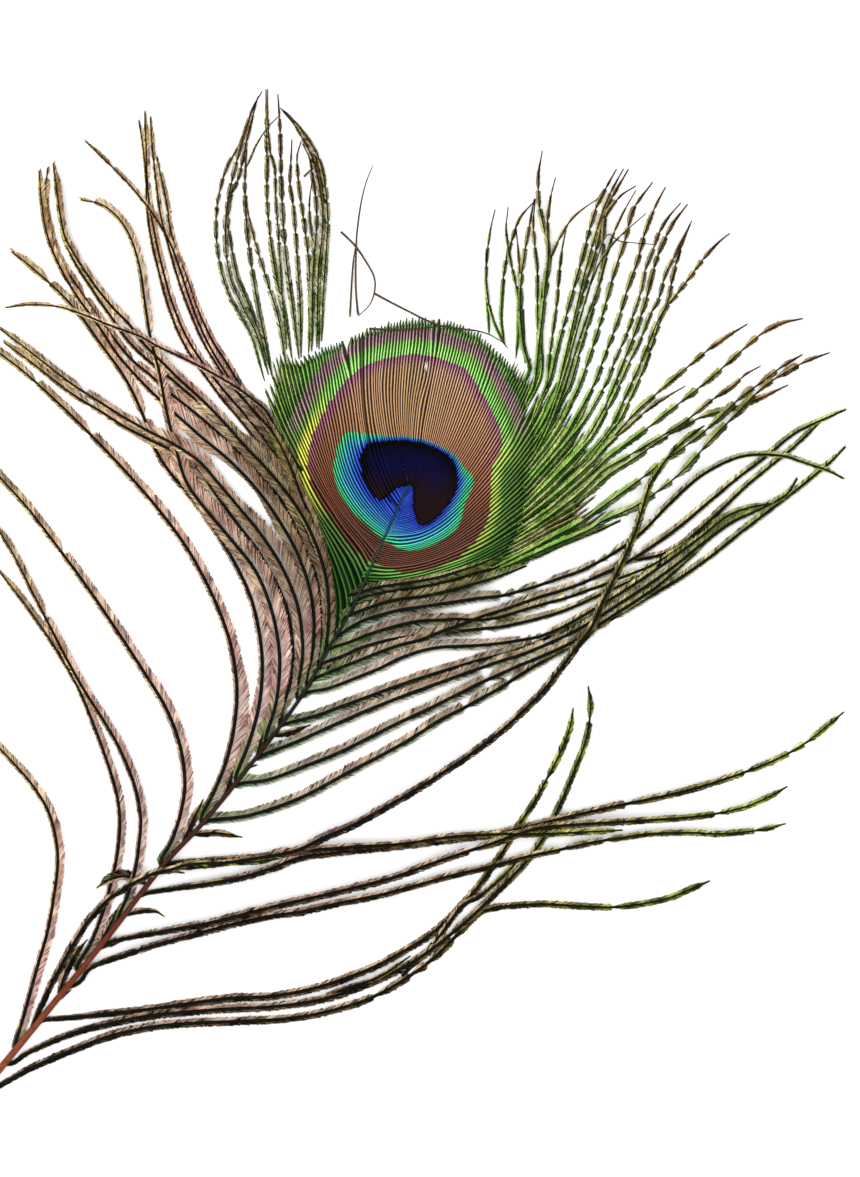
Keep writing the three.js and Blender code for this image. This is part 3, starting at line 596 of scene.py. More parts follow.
def vane_tree():
    """Flat barbs that lie side by side. It reads from the strands: half (half the width)."""
    tree = Tree("Closed barbs", {"Ridge": "Float", "Finish": "Material"})
    curve = strand_curve(tree)
    ridge = tree.inputs["Ridge"]
    section = tree.add("GeometryNodeCurvePrimitiveQuadrilateral", {
        "Point 1": (-1, 0, 0), "Point 2": tree.vector(0, tree.maths("MULTIPLY", ridge, -0.25), 0),
        "Point 3": (1, 0, 0), "Point 4": tree.vector(0, ridge, 0)}, mode="POINTS")[0]
    place = tree.add("GeometryNodeInputPosition")[0]
    aside = tree.add("ShaderNodeSeparateXYZ", {0: place})[0]
    section = tree.store(section, "across", aside)
    barbs = tree.add("GeometryNodeCurveToMesh", {
        "Curve": curve, "Profile Curve": section, "Scale": tree.value("half"),
        "Fill Caps": True})[0]
    return tree.end(tree.painted(barbs, tree.inputs["Finish"]))


def grown(source, group, settings):
    """The plain mesh that a tree makes from a strands object, which it replaces."""
    modifier = source.modifiers.new("Grow", "NODES")
    modifier.node_group = group
    for item in group.interface.items_tree:
        if item.item_type == "SOCKET" and item.in_out == "INPUT" and item.name in settings:
            modifier[item.identifier] = settings[item.name]
    bpy.context.view_layer.update()
    evaluated = source.evaluated_get(bpy.context.evaluated_depsgraph_get())
    mesh = bpy.data.meshes.new_from_object(evaluated)
    source.modifiers.remove(modifier)
    old = source.data
    source.data = mesh
    mesh.name = source.name
    bpy.data.meshes.remove(old)
    return source


# --- finishes

NOISE_SPAN = (0.3, 0.7)  # nearly all of a noise's values lie in this span


class Finish(Nodes):
    """A node material under construction."""

    def __init__(self, name, **sockets):
        self.material = bpy.data.materials.new(name)
        self.material.use_nodes = True
        self.group = self.material.node_tree
        self.shader = self.group.nodes["Principled BSDF"]
        for key, value in sockets.items():
            self.shader.inputs[key.replace("_", " ")].default_value = value

    def value(self, name):
        return self.add("ShaderNodeAttribute", attribute_name=name)["Fac"]

    def ranged(self, value, low, high, to_low=0.0, to_high=1.0):
        sockets = {"Value": value, 1: low, 2: high, 3: to_low, 4: to_high}
        return self.add("ShaderNodeMapRange", sockets)[0]

    def ramp(self, value, stops, low=0.0, high=1.0):
        """Colours at places from low to high. A stop is its place and an 8-bit colour."""
        node = self.node("ShaderNodeValToRGB", {0: self.ranged(value, low, high)})
        bar = node.color_ramp.elements
        while len(bar) < len(stops):
            bar.new(0.5)
        for element, (place, *color) in zip(bar, stops):
            element.position = (place - low) / (high - low)
            element.color = (*rgb(*color), 1)
        return node.outputs["Color"]

    def mix(self, share, below, above, blend="MIX"):
        sockets = {0: share}
        for index, color in ((6, below), (7, above)):
            linked = isinstance(color, bpy.types.NodeSocket)
            sockets[index] = color if linked else (*color, 1)
        return self.add("ShaderNodeMix", sockets, data_type="RGBA", blend_type=blend)[2]

    def lit(self, color, level):
        """The colour made lighter or darker, which a level of one leaves as it is."""
        grey = self.add("ShaderNodeCombineColor", {0: level, 1: level, 2: level})[0]
        return self.mix(1.0, color, grey, "MULTIPLY")

    def noise(self, scale, detail=3.0):
        place = self.add("ShaderNodeTexCoord")["Object"]
        sockets = {"Vector": place, "Scale": scale, "Detail": detail}
        return self.add("ShaderNodeTexNoise", sockets)[0]

    def surfaced(self, color, patch, roughness, height, strength, depth=0.05 * MM):
        """The material with this colour, a patchy roughness and a bump."""
        self.paint(color)
        rough = self.ranged(patch, *NOISE_SPAN, *roughness)
        self.group.links.new(rough, self.shader.inputs["Roughness"])
        sockets = {"Height": height, "Strength": strength, "Distance": depth}
        bumped = self.add("ShaderNodeBump", sockets)[0]
        self.group.links.new(bumped, self.shader.inputs["Normal"])
        return self.material

    def paint(self, color):
        self.group.links.new(color, self.shader.inputs["Base Color"])


def rgb(red, green, blue):
    """A colour given in 8-bit display values, as linear light."""
    channels = np.array((red, green, blue)) / 255
    return tuple(float(v) for v in np.where(channels <= 0.04045, channels / 12.92,
                                            ((channels + 0.055) / 1.055) ** 2.4))


# painted shade round the eye, where the open barbs lie close: their colour is darkened, with a green
# tint
EYE_SHADE_TINT = (0.42, 0.46, 0.32)  # how much of red, green and blue is left round the eye


def barbule_finish(name, light, other, dark, contrast=1.0):
    """Light and dark barbules, in colours that change from the barb's root to its tip."""
    made = Finish(name, Metallic=0.0, Specular_IOR_Level=0.06)
    along = made.value("along")
    patch = made.ranged(made.noise(260), 0.42, 0.58)
    color = made.mix(patch, made.ramp(along, light), made.ramp(along, other))
    drift = made.ranged(made.noise(500), *NOISE_SPAN, -0.12, 0.12)
    tone = made.maths("ADD", made.value("tone"), drift)
    darker = made.ranged(tone, 0.55, 0.25, 0, contrast)
    color = made.mix(darker, color, made.ramp(along, dark))
    # painted shade round the eye: the colour is darkened, with a green tint, as far as the strands
    # ask
    color = made.mix(made.value("dusk"), color, made.mix(1.0, color, EYE_SHADE_TINT, "MULTIPLY"))
    # the level also darkens each barbule towards its root: painted shadow beside the rib
    level = made.product(
        made.ranged(made.value("shade"), 0, 1, 0.85, 1.1), made.ranged(tone, 0.5, 1.1, 0.9, 1.25),
        made.ranged(made.value("reach"), 0.0, 0.3, 0.3, 1))
    color = made.lit(color, level)
    return made.surfaced(color, made.noise(900), (0.45, 0.75), made.noise(6000), 0.4)


def rib_finish(name, stops, fleck):
    """Colours from the barb's root to its tip, with a few lighter flecks."""
    made = Finish(name, Metallic=0.0, Specular_IOR_Level=0.05)
    patch = made.noise(900)
    flecked = made.ranged(patch, 0.58, 0.72, 0, 0.4)
    color = made.mix(flecked, made.ramp(made.value("along"), stops), fleck)
    return made.surfaced(color, patch, (0.45, 0.65), made.noise(4000), 0.3)


# --- making strands; lengths without MM in them are in sketch steps or as said

RIB_REST = 0.42 * MM  # height of a barb's middle line over the ground
VANE_REST = 0.4 * MM
# the painted shade round the eye reaches this far from its middle and fades over that length
EYE_SHADE_REACH, EYE_SHADE_FADE = 46 * MM, 20 * MM  # open barbs are darker and greener round the eye
FILL_MIDDLE = (310, 580)  # around this place, in sketch steps, barbules meet their neighbours
FILL_REACH, FILL_FADE = 50 * MM, 16 * MM  # how far from there, and how slowly they cease to
FILL_FARTHEST = 1.75  # neighbours count up to this many times the greatest reach away
FILL_SMOOTH = 12  # points to each side over which that reach is averaged
# a neighbour's point is beside one that it is less than this ahead of and more than that aside
BESIDE_AHEAD, BESIDE_ASIDE = 0.8 * MM, 0.35 * MM
HEEL = 1.6  # how many times its "root", in sketch steps, a barb begins further back
SHAFT_NEAR = 10  # how close to that place the shaft must run for a barb to be led into it
WIDTH_PLACES = (0, 0.06, 0.2, 0.6, 1)  # parts of a barb's length where its "widths" apply
RIB_PLACES = (0, 0.15, 0.7, 1)  # and where its "rib" applies
RIB_RADIUS = 0.5 * MM
RIB_LEAST, RIB_GROWTH = 0.6, 0.2  # a barb with wider rows of barbules has a thicker rib
SPREAD_WAVE, REACH_WAVE = 6 * MM, 1.2 * MM  # how slowly widths and barbules' lengths vary
CLUMP_SPREAD = (0.6, 1.4)  # lengths of clumps, over the usual one
CLUMP_OVER = 0.15 * MM  # barbules end this far beyond their clump
CLUMP_START = 0.8 * MM  # and are shorter over this length where it begins
TOWARD_END = 0.85  # their greatest part of the way to the clump's end
NOTCH_NEAR = 1.0 * MM  # a notch belongs to the barbs that pass this close to it

EYE_PITCH = 3.05  # sketch steps from one closed barb to the next at the edge of the eye
LOW_PITCH = 4.8  # and below the eye
BELOW_EYE = 3  # guides before this one pass below it
GUIDE_POINTS = 90
GUIDE_LEAD = 4  # sketch steps by which guides are drawn further back
FIRST_TIDY, LAST_TIDY = 4, 23  # barbs from these guides and between them end in one line
RAGGED_END = (0.12, 1.0, 7)  # greatest part cut off, half-width and taper in millimetres
TIDY_END = (0.02, 0.7, 2.2)
HALF_SHARE = 0.62  # half-width of closed barbs over their distance, so that they overlap
SLIT_MIDDLE, SLIT_HALF = 363, 11  # sketch steps down, of the open slit in the vane
SLIT_LEAST = 0.05  # what is left of the barbs' width in its middle
SLIT_GAP = 0.3  # barbs that come closer than this, in sketch steps, border on the slit
LEAST_HALF, SLIT_LEAST_HALF = 0.16 * MM, 0.03 * MM
ZONE_SLIP = 0.1  # millimetres by which the edges of the eye's zones differ between barbs
EYE_UNIT = 100  # sketch steps in one unit of "aside" and "rise"
LEAD_FROM = 6.5  # millimetres outside the eye from which rooted barbs are drawn
LEAD_SKIP = 6  # every so many points of the closed barb are kept
OUTER_BARBS = 5.4  # millimetres outside the eye from which the closed barbs carry barbules
CROWN_RISE, CROWN_ASIDE = 0.95, 1.05  # those that end above the eye carry none
OUTER_LEAST, OUTER_TAIL = 8, 6  # nor do those with fewer points than this outside
OUTER_LIFT, OUTER_RIB, OUTER_REACH = 0.12 * MM, 0.1 * MM, 1.8 * MM
OUTER_START, OUTER_POINT = 3 * MM, 5 * MM  # lengths over which these grow and narrow
# how much painted shade round the eye the eye fringe's barbs get
OUTER_EYE_SHADE = 0.2


def eased(share, least):
    """What grows smoothly from its least value to one."""
    return least + (1 - least) * smoothstep(share)


def uneven(rng, run, step, low, high):
    """Random values that change smoothly along a strand."""
    knots = rng.uniform(low, high, int(run[-1] / step) + 3)
    share = run / step
    first = share.astype(int)
    return knots[first] + (knots[first + 1] - knots[first]) * smoothstep(share - first)


def first_way(line):
    leg = line[1] - line[0]
    return leg / np.linalg.norm(leg)


def led_to_shaft(route, back):
    """A route that begins further back, in the shaft where that runs close by."""
    heel = route[0] - HEEL * back * first_way(route)
    shaft = curve_through(np.array(SHAFT_ROUTE, float))
    gaps = np.linalg.norm(shaft - heel, axis=1)
    if back and gaps.min() < SHAFT_NEAR:
        heel = shaft[int(np.argmin(gaps))]
    return np.vstack((heel, route))


def open_barb(barb, look, rng):
    """The strand of a barb whose barbules stand apart, with how wide they spread."""
    level, width, route = barb
    route = led_to_shaft(np.array(route, float), look["root"])
    line = to_part(curve_through(route))
    length = distances_along(line)[-1]
    along = np.linspace(0, 1, max(int(length / look["step"]), 6))
    line = resampled(line, along)
    run = along * length
    rise = level * BARB_LAYER * smoothstep(run / RISE_LENGTH)
    spread = width * MM * np.interp(along, WIDTH_PLACES, look["widths"])
    spread *= uneven(rng, run, SPREAD_WAVE, 1 - look["ragged"], 1)
    spread *= eased((length - run) / look["point"], 0.2)
    rib = RIB_RADIUS * np.interp(along, RIB_PLACES, look["rib"])
    rib *= RIB_LEAST + RIB_GROWTH * width
    from_eye = np.linalg.norm(line - to_part([EYE_MIDDLE]), axis=1)
    return {
        "points": np.column_stack((line, RIB_REST + rise)), "along": along, "rib": rib,
        "left": look["left"] * spread, "right": look["right"] * spread,
        "shade": np.full(len(along), rng.uniform(0, 1)),
        # how much painted shade round the eye each point gets
        "dusk": look["dusk"] * smoothstep((EYE_SHADE_REACH - from_eye) / EYE_SHADE_FADE)}


def fill_to_neighbours(strands, most):
    """Where another barb runs beside a strand, its barbules reach across to it.

    They reach at most as far as the two distances, left and right, and only round one place.
    """
    middle = to_part([FILL_MIDDLE])[0]
    farthest = FILL_FARTHEST * max(most)
    window = np.full(2 * FILL_SMOOTH + 1, 1 / (2 * FILL_SMOOTH + 1))
    every = np.vstack([s["points"][:, :2] for s in strands])
    owner = np.repeat(np.arange(len(strands)), [len(s["points"]) for s in strands])
    for index, strand in enumerate(strands):
        points = strand["points"][:, :2]
        ahead = np.gradient(points, axis=0)
        ahead /= np.linalg.norm(ahead, axis=1)[:, None]
        low, high = points.min(0) - farthest, points.max(0) + farthest
        near = (owner != index) & ((every > low) & (every < high)).all(1)
        if not near.any():
            continue
        way = every[near] - points[:, None]
        forward = (way * ahead[:, None]).sum(2)
        aside = ahead[:, None, 0] * way[..., 1] - ahead[:, None, 1] * way[..., 0]
        full = smoothstep((FILL_REACH - np.linalg.norm(points - middle, axis=1)) / FILL_FADE)
        for side, sign, limit in zip(("left", "right"), (1, -1), most):
            beside = (np.abs(forward) < BESIDE_AHEAD) & (sign * aside > BESIDE_ASIDE)
            gap = np.where(beside, sign * aside, 1.0).min(1)
            own = strand[side]
            reach = own + full * (np.minimum(gap, limit) - own)
            reach = np.where(gap < farthest, reach, own)
            reach = np.convolve(np.pad(reach, FILL_SMOOTH, "edge"), window, "valid")
            strand[side] = np.maximum(own, reach)


def clump_ends(strand, run, look, rng):
    """Where along a strand its clumps of barbules end, at chance places and at notches."""
    first, last = np.array(look["beads"]) * run[-1]
    count = int((last - first) / look["bead"] / CLUMP_SPREAD[0]) + 1
    ends = first + np.cumsum(look["bead"] * rng.uniform(*CLUMP_SPREAD, count))
    ends = ends[ends < last]
    apart = np.linalg.norm(strand["points"][:, None, :2] - to_part(NOTCHES), axis=2)
    ends = np.r_[ends, run[apart.argmin(0)[apart.min(0) < NOTCH_NEAR]]]
    return np.r_[np.sort(ends[ends < run[-1] - NOTCH_NEAR]), run[-1] + NOTCH_NEAR]


def spread_to_reach(strand, look, rng):
    """Turns how wide barbules spread into how long each is. No barbule crosses a clump's end."""
    run = distances_along(strand["points"])
    ends = clump_ends(strand, run, look, rng)
    clump = np.searchsorted(ends, run)
    to_end = ends[clump] - run
    begun = run - np.r_[-1, ends][clump] - look["bare"]
    for side in ("left", "right"):
        splay = math.radians(look["splay_" + side])
        reach = strand[side] / math.sin(splay) * uneven(rng, run, REACH_WAVE, 0.9, 1)
        reach = np.minimum(reach, TOWARD_END * (to_end + CLUMP_OVER) / math.cos(splay))
        reach *= eased(begun / CLUMP_START, 0.5)
        strand[side] = np.where(begun < 0, 0, reach)


def from_outline(points, outline):
    """Distance of points from a closed outline in millimetres, below zero inside it."""
    ring = curve_through(np.array(outline, float), closed=True, fineness=6)
    leg = np.roll(ring, -1, axis=0) - ring
    share = ((points[:, None] - ring) * leg).sum(2) / (leg**2).sum(1)
    foot = ring + np.clip(share, 0, 1)[..., None] * leg
    distance = np.linalg.norm(points[:, None] - foot, axis=2).min(1)
    above = ring[:, 1] > points[:, None, 1]
    crossing = ring[:, 0] + (points[:, None, 1] - ring[:, 1]) / (leg[:, 1] + 1e-9) * leg[:, 0]
    hits = (above != np.roll(above, -1, axis=1)) & (points[:, None, 0] < crossing)
    return np.where(hits.sum(1) % 2, -1, 1) * distance * ROUTE_STEP / MM


def closed_barb(steps, half, taper, rng):
    """The strand of a barb in the closed vane, with where it lies in the eye."""
    line = to_part(steps)
    run = distances_along(line)
    to_tip = run[-1] - run
    slip = rng.normal(0, ZONE_SLIP)
    return {
        "points": np.column_stack((line, np.full(len(line), VANE_REST))),
        "along": run / run[-1], "run": run / MM, "tip": to_tip / MM,
        "half": half * eased(to_tip / taper, 0.3),
        "kidney": from_outline(steps, KIDNEY) + slip, "blue": from_outline(steps, BLUE) + slip,
        "bronze": from_outline(steps, BRONZE) + slip,
        "aside": (steps[:, 0] - EYE_MIDDLE[0]) / EYE_UNIT,
        "rise": (EYE_MIDDLE[1] - steps[:, 1]) / EYE_UNIT,
        "shade": np.full(len(line), rng.uniform(0.1, 1))}


def vane_lines():
    """Lines of the closed barbs in sketch steps: the guides, and evenly spaced ones between.

    With each go the distance to its neighbours, whether it ends raggedly and whether it is dark.
    """
    places = np.linspace(0, 1, GUIDE_POINTS)
    guides = [resampled(curve_through(np.array(g, float)), places) for g in VANE_GUIDES]
    lines, gaps, ragged, dark = [], [], [], []
    guides = [np.vstack((g[:1] - GUIDE_LEAD * first_way(g), g)) for g in guides]
    for index, (one, other) in enumerate(zip(guides, guides[1:])):
        along = np.gradient(one + other, axis=0)
        along /= np.linalg.norm(along, axis=1)[:, None]
        across = other - one
        apart = np.abs(along[:, 0] * across[:, 1] - along[:, 1] * across[:, 0])
        inside = np.flatnonzero(from_outline((one + other) / 2, BRONZE) < 0)
        if len(inside) and index >= BELOW_EYE:
            count = round(apart[inside[-1]] / EYE_PITCH)
        else:
            count = round(np.percentile(apart, 80) / LOW_PITCH)
        count = max(count, 2 if index == PARTING else 1)
        for number in range(count):
            lines.append(one + number / count * across)
            dark.append(index == DARK_GUIDE and not number)
            gap = apart / count
            if index == PARTING and number:
                from_slit = np.abs(lines[-1][:, 1] - SLIT_MIDDLE)
                gap = gap * smoothstep(SLIT_LEAST + from_slit / SLIT_HALF)
            gaps.append(gap)
            ragged.append(not FIRST_TIDY <= index <= LAST_TIDY)
    widest = [np.maximum(one, other) for one, other in zip(gaps, gaps[:1] + gaps)]
    widest = [gap if gap.min() < SLIT_GAP else wide for gap, wide in zip(gaps, widest)]
    return list(zip(lines, widest, ragged, dark))


def vane_strands(lines, rng):
    """Strands of the closed barbs, each wide enough to meet its neighbours."""
    made = []
    for steps, apart, ragged, dark in lines:
        most_cut, widest, taper = RAGGED_END if ragged else TIDY_END
        cut = rng.uniform(0, most_cut)
        steps = resampled(steps, np.linspace(0, 1 - cut, len(steps)))
        least = SLIT_LEAST_HALF if apart.min() < SLIT_GAP else LEAST_HALF
        half = np.clip(HALF_SHARE * apart * ROUTE_STEP, least, widest * MM)
        strand = closed_barb(steps, half, taper * MM, rng)
        if dark:
            strand["shade"][:] = 0
        made.append(strand)
    return made


def outer_strands(closed, rng):
    """Strands over the outer parts of closed barbs, where their barbules begin to show."""
    made = []
    for strand in closed:
        in_crown = strand["rise"][-1] > CROWN_RISE and abs(strand["aside"][-1]) < CROWN_ASIDE
        outside = strand["bronze"] > OUTER_BARBS
        if in_crown or outside.sum() < OUTER_LEAST:
            continue
        first = 0 if outside.all() else len(outside) - int(np.argmin(outside[::-1]))
        if first > len(outside) - OUTER_TAIL:
            continue
        part = slice(first, None)
        line = strand["points"][part]
        run = distances_along(line)
        grow = smoothstep(run / OUTER_START) * eased((run[-1] - run) / OUTER_POINT, 0.35)
        # the lower a place, the further out along a barb its colours are taken from
        tone = 0.4 + 0.5 * smoothstep((0.3 - strand["rise"][part]) / 0.9)
        made.append({
            "points": line + (0, 0, OUTER_LIFT), "along": tone * strand["along"][part],
            "rib": np.full(len(line), OUTER_RIB), "left": OUTER_REACH * grow,
            "right": OUTER_REACH * grow, "shade": strand["shade"][part],
            "dusk": np.full(len(line), OUTER_EYE_SHADE)})
    return made


def rooted(barbs, lines):
    """The barbs, each led back along the closed barb it grows from."""
    made = []
    for level, width, route in barbs:
        start = np.array(route[0], float)
        gaps = [np.linalg.norm(steps - start, axis=1) for steps, *_ in lines]
        nearest = int(np.argmin([gap.min() for gap in gaps]))
        steps, meets = lines[nearest][0], int(np.argmin(gaps[nearest]))
        outside = from_outline(steps, BRONZE) > LEAD_FROM
        first = len(outside) - int(np.argmin(outside[::-1]))
        lead = steps[first:meets - LEAD_SKIP + 1:LEAD_SKIP]
        shift = (start - steps[meets]) * np.linspace(0, 0.9, len(lead))[:, None] ** 2
        made.append((level, width, [*map(tuple, lead + shift), *route]))
    return made


def barbule(name, bend, blunt):
    """A blade along Y, one long and one wide, that leans towards X and narrows to one end."""
    if blunt:
        points = [(bend - 0.5, 1, 0), (bend + 0.5, 1, 0), (bend, 1, 0.45), (0, 0, 0.15)]
        faces = [(0, 2, 1), (0, 1, 3), (1, 2, 3), (0, 3, 2)]
    else:
        points = [(-0.5, 0, 0), (0.5, 0, 0), (0, 0, 0.45), (bend, 1, 0.1)]
        faces = [(0, 1, 2), (0, 3, 1), (1, 3, 2), (0, 2, 3)]
    mesh = bpy.data.meshes.new(name)
    mesh.from_pydata(points, [], faces)
    reach = mesh.attributes.new("reach", "FLOAT", "POINT")
    reach.data.foreach_set("value", [p[1] for p in points])
    return placed(name, mesh)


# --- the feather's finishes

LEFT_FRINGE = barbule_finish(
    "left outer barbules",
    [(0, 130, 150, 80), (0.1, 236, 202, 184), (0.6, 232, 208, 160), (1, 218, 200, 114)],
    [(0, 90, 110, 50), (0.1, 192, 150, 144), (0.6, 190, 154, 120), (1, 164, 144, 72)],
    [(0, 16, 24, 8), (0.15, 56, 40, 36), (1, 44, 32, 16)], 0.85)
LEFT_INNER = barbule_finish(
    "left inner barbules",
    [(0, 110, 140, 80), (0.1, 236, 198, 184), (0.6, 240, 204, 182), (1, 210, 184, 132)],
    [(0, 80, 110, 56), (0.1, 194, 146, 138), (0.6, 194, 148, 124), (1, 162, 134, 84)],
    [(0, 12, 22, 8), (0.15, 56, 36, 32), (1, 38, 26, 16)], 0.85)
LEFT_RIB = rib_finish(
    "left ribs",
    [(0, 10, 18, 8), (0.3, 8, 9, 5), (1, 20, 14, 8)], rgb(60, 56, 30))
GREEN_FRINGE = barbule_finish(
    "tuft outer barbules",
    [(0, 184, 226, 104), (0.5, 216, 222, 146), (0.9, 206, 180, 124), (1, 130, 100, 60)],
    [(0, 140, 204, 76), (0.5, 166, 194, 100), (0.9, 150, 116, 74), (1, 90, 60, 34)],
    [(0, 20, 40, 12), (0.6, 30, 34, 12), (1, 38, 20, 10)], 0.5)
# the tuft barbs' right rows: a darker copy of the outer rows' colours, painted shade on the side
# away from the light
GREEN_SHADED_SIDE = barbule_finish(
    "tuft inner barbules",
    [(0, 60, 100, 44), (0.5, 110, 120, 76), (1, 120, 92, 60)],
    [(0, 30, 66, 22), (0.5, 56, 76, 34), (1, 66, 44, 26)],
    [(0, 5, 12, 4), (0.6, 10, 12, 4), (1, 18, 8, 4)], 0.6)
GREEN_RIB = rib_finish(
    "tuft ribs",
    [(0, 10, 26, 6), (0.5, 10, 18, 6), (1, 24, 12, 6)], rgb(70, 100, 30))
PALE_FRINGE = barbule_finish(
    "left tuft outer barbules",
    [(0, 206, 208, 140), (0.3, 226, 216, 178), (1, 204, 180, 120)],
    [(0, 160, 180, 104), (0.4, 184, 184, 126), (0.8, 160, 130, 80), (1, 150, 80, 50)],
    [(0, 24, 40, 12), (0.6, 44, 40, 16), (1, 50, 22, 10)])
# the left tuft's right rows: a darker copy of the outer rows' colours, painted shade on the side
# away from the light
PALE_SHADED_SIDE = barbule_finish(
    "left tuft inner barbules",
    [(0, 150, 160, 110), (0.3, 170, 164, 134), (1, 130, 104, 66)],
    [(0, 76, 100, 50), (0.4, 90, 104, 60), (0.8, 90, 70, 42), (1, 90, 44, 26)],
    [(0, 8, 18, 5), (0.6, 18, 18, 7), (1, 26, 10, 5)])
LOWER_FRINGE = barbule_finish(
    "lower barbs' upper barbules",
    [(0, 170, 140, 110), (0.3, 226, 192, 168), (0.7, 214, 190, 140), (1, 204, 214, 100)],
    [(0, 70, 56, 36), (0.3, 140, 104, 90), (0.7, 124, 106, 64), (1, 140, 160, 54)],
    [(0, 10, 10, 4), (0.3, 22, 13, 9), (1, 26, 24, 8)])
# the lower barbs' lower rows: a darker copy of the upper rows' colours, painted shade on the side
# away from the light
LOWER_SHADED_SIDE = barbule_finish(
    "lower barbs' lower barbules",
    [(0, 80, 70, 50), (0.3, 110, 84, 66), (0.7, 120, 104, 60), (1, 150, 170, 60)],
    [(0, 24, 20, 12), (0.5, 34, 24, 16), (1, 60, 70, 20)],
    [(0, 6, 5, 3), (0.5, 8, 6, 4), (1, 14, 14, 4)])
RIGHT_FRINGE = barbule_finish(
    "right upper barbules",
    [(0, 130, 156, 84), (0.15, 240, 212, 190), (0.6, 240, 222, 176), (1, 216, 224, 126)],
    [(0, 80, 110, 50), (0.15, 186, 150, 128), (0.7, 170, 156, 104), (1, 140, 164, 64)],
    [(0, 10, 20, 6), (0.3, 30, 20, 12), (1, 30, 26, 10)])
# the right barbs' lower rows: greener than the upper rows in their own colour, and darker as painted
# shade on the side away from the light
RIGHT_SHADED_SIDE = barbule_finish(
    "right lower barbules",
    [(0, 90, 140, 70), (0.15, 180, 170, 140), (0.7, 170, 174, 110), (1, 176, 200, 92)],
    [(0, 36, 84, 28), (0.2, 80, 90, 54), (0.6, 84, 84, 46), (1, 96, 130, 46)],
    [(0, 8, 18, 6), (0.3, 20, 20, 10), (1, 20, 22, 8)])
RIGHT_RIB = rib_finish(
    "right ribs",
    [(0, 8, 12, 4), (0.5, 7, 8, 4), (1, 18, 20, 8)], rgb(56, 56, 28))
WISP_RIB = rib_finish(
    "wisps",
    [(0, 80, 60, 36), (1, 60, 44, 30)], rgb(120, 96, 50))


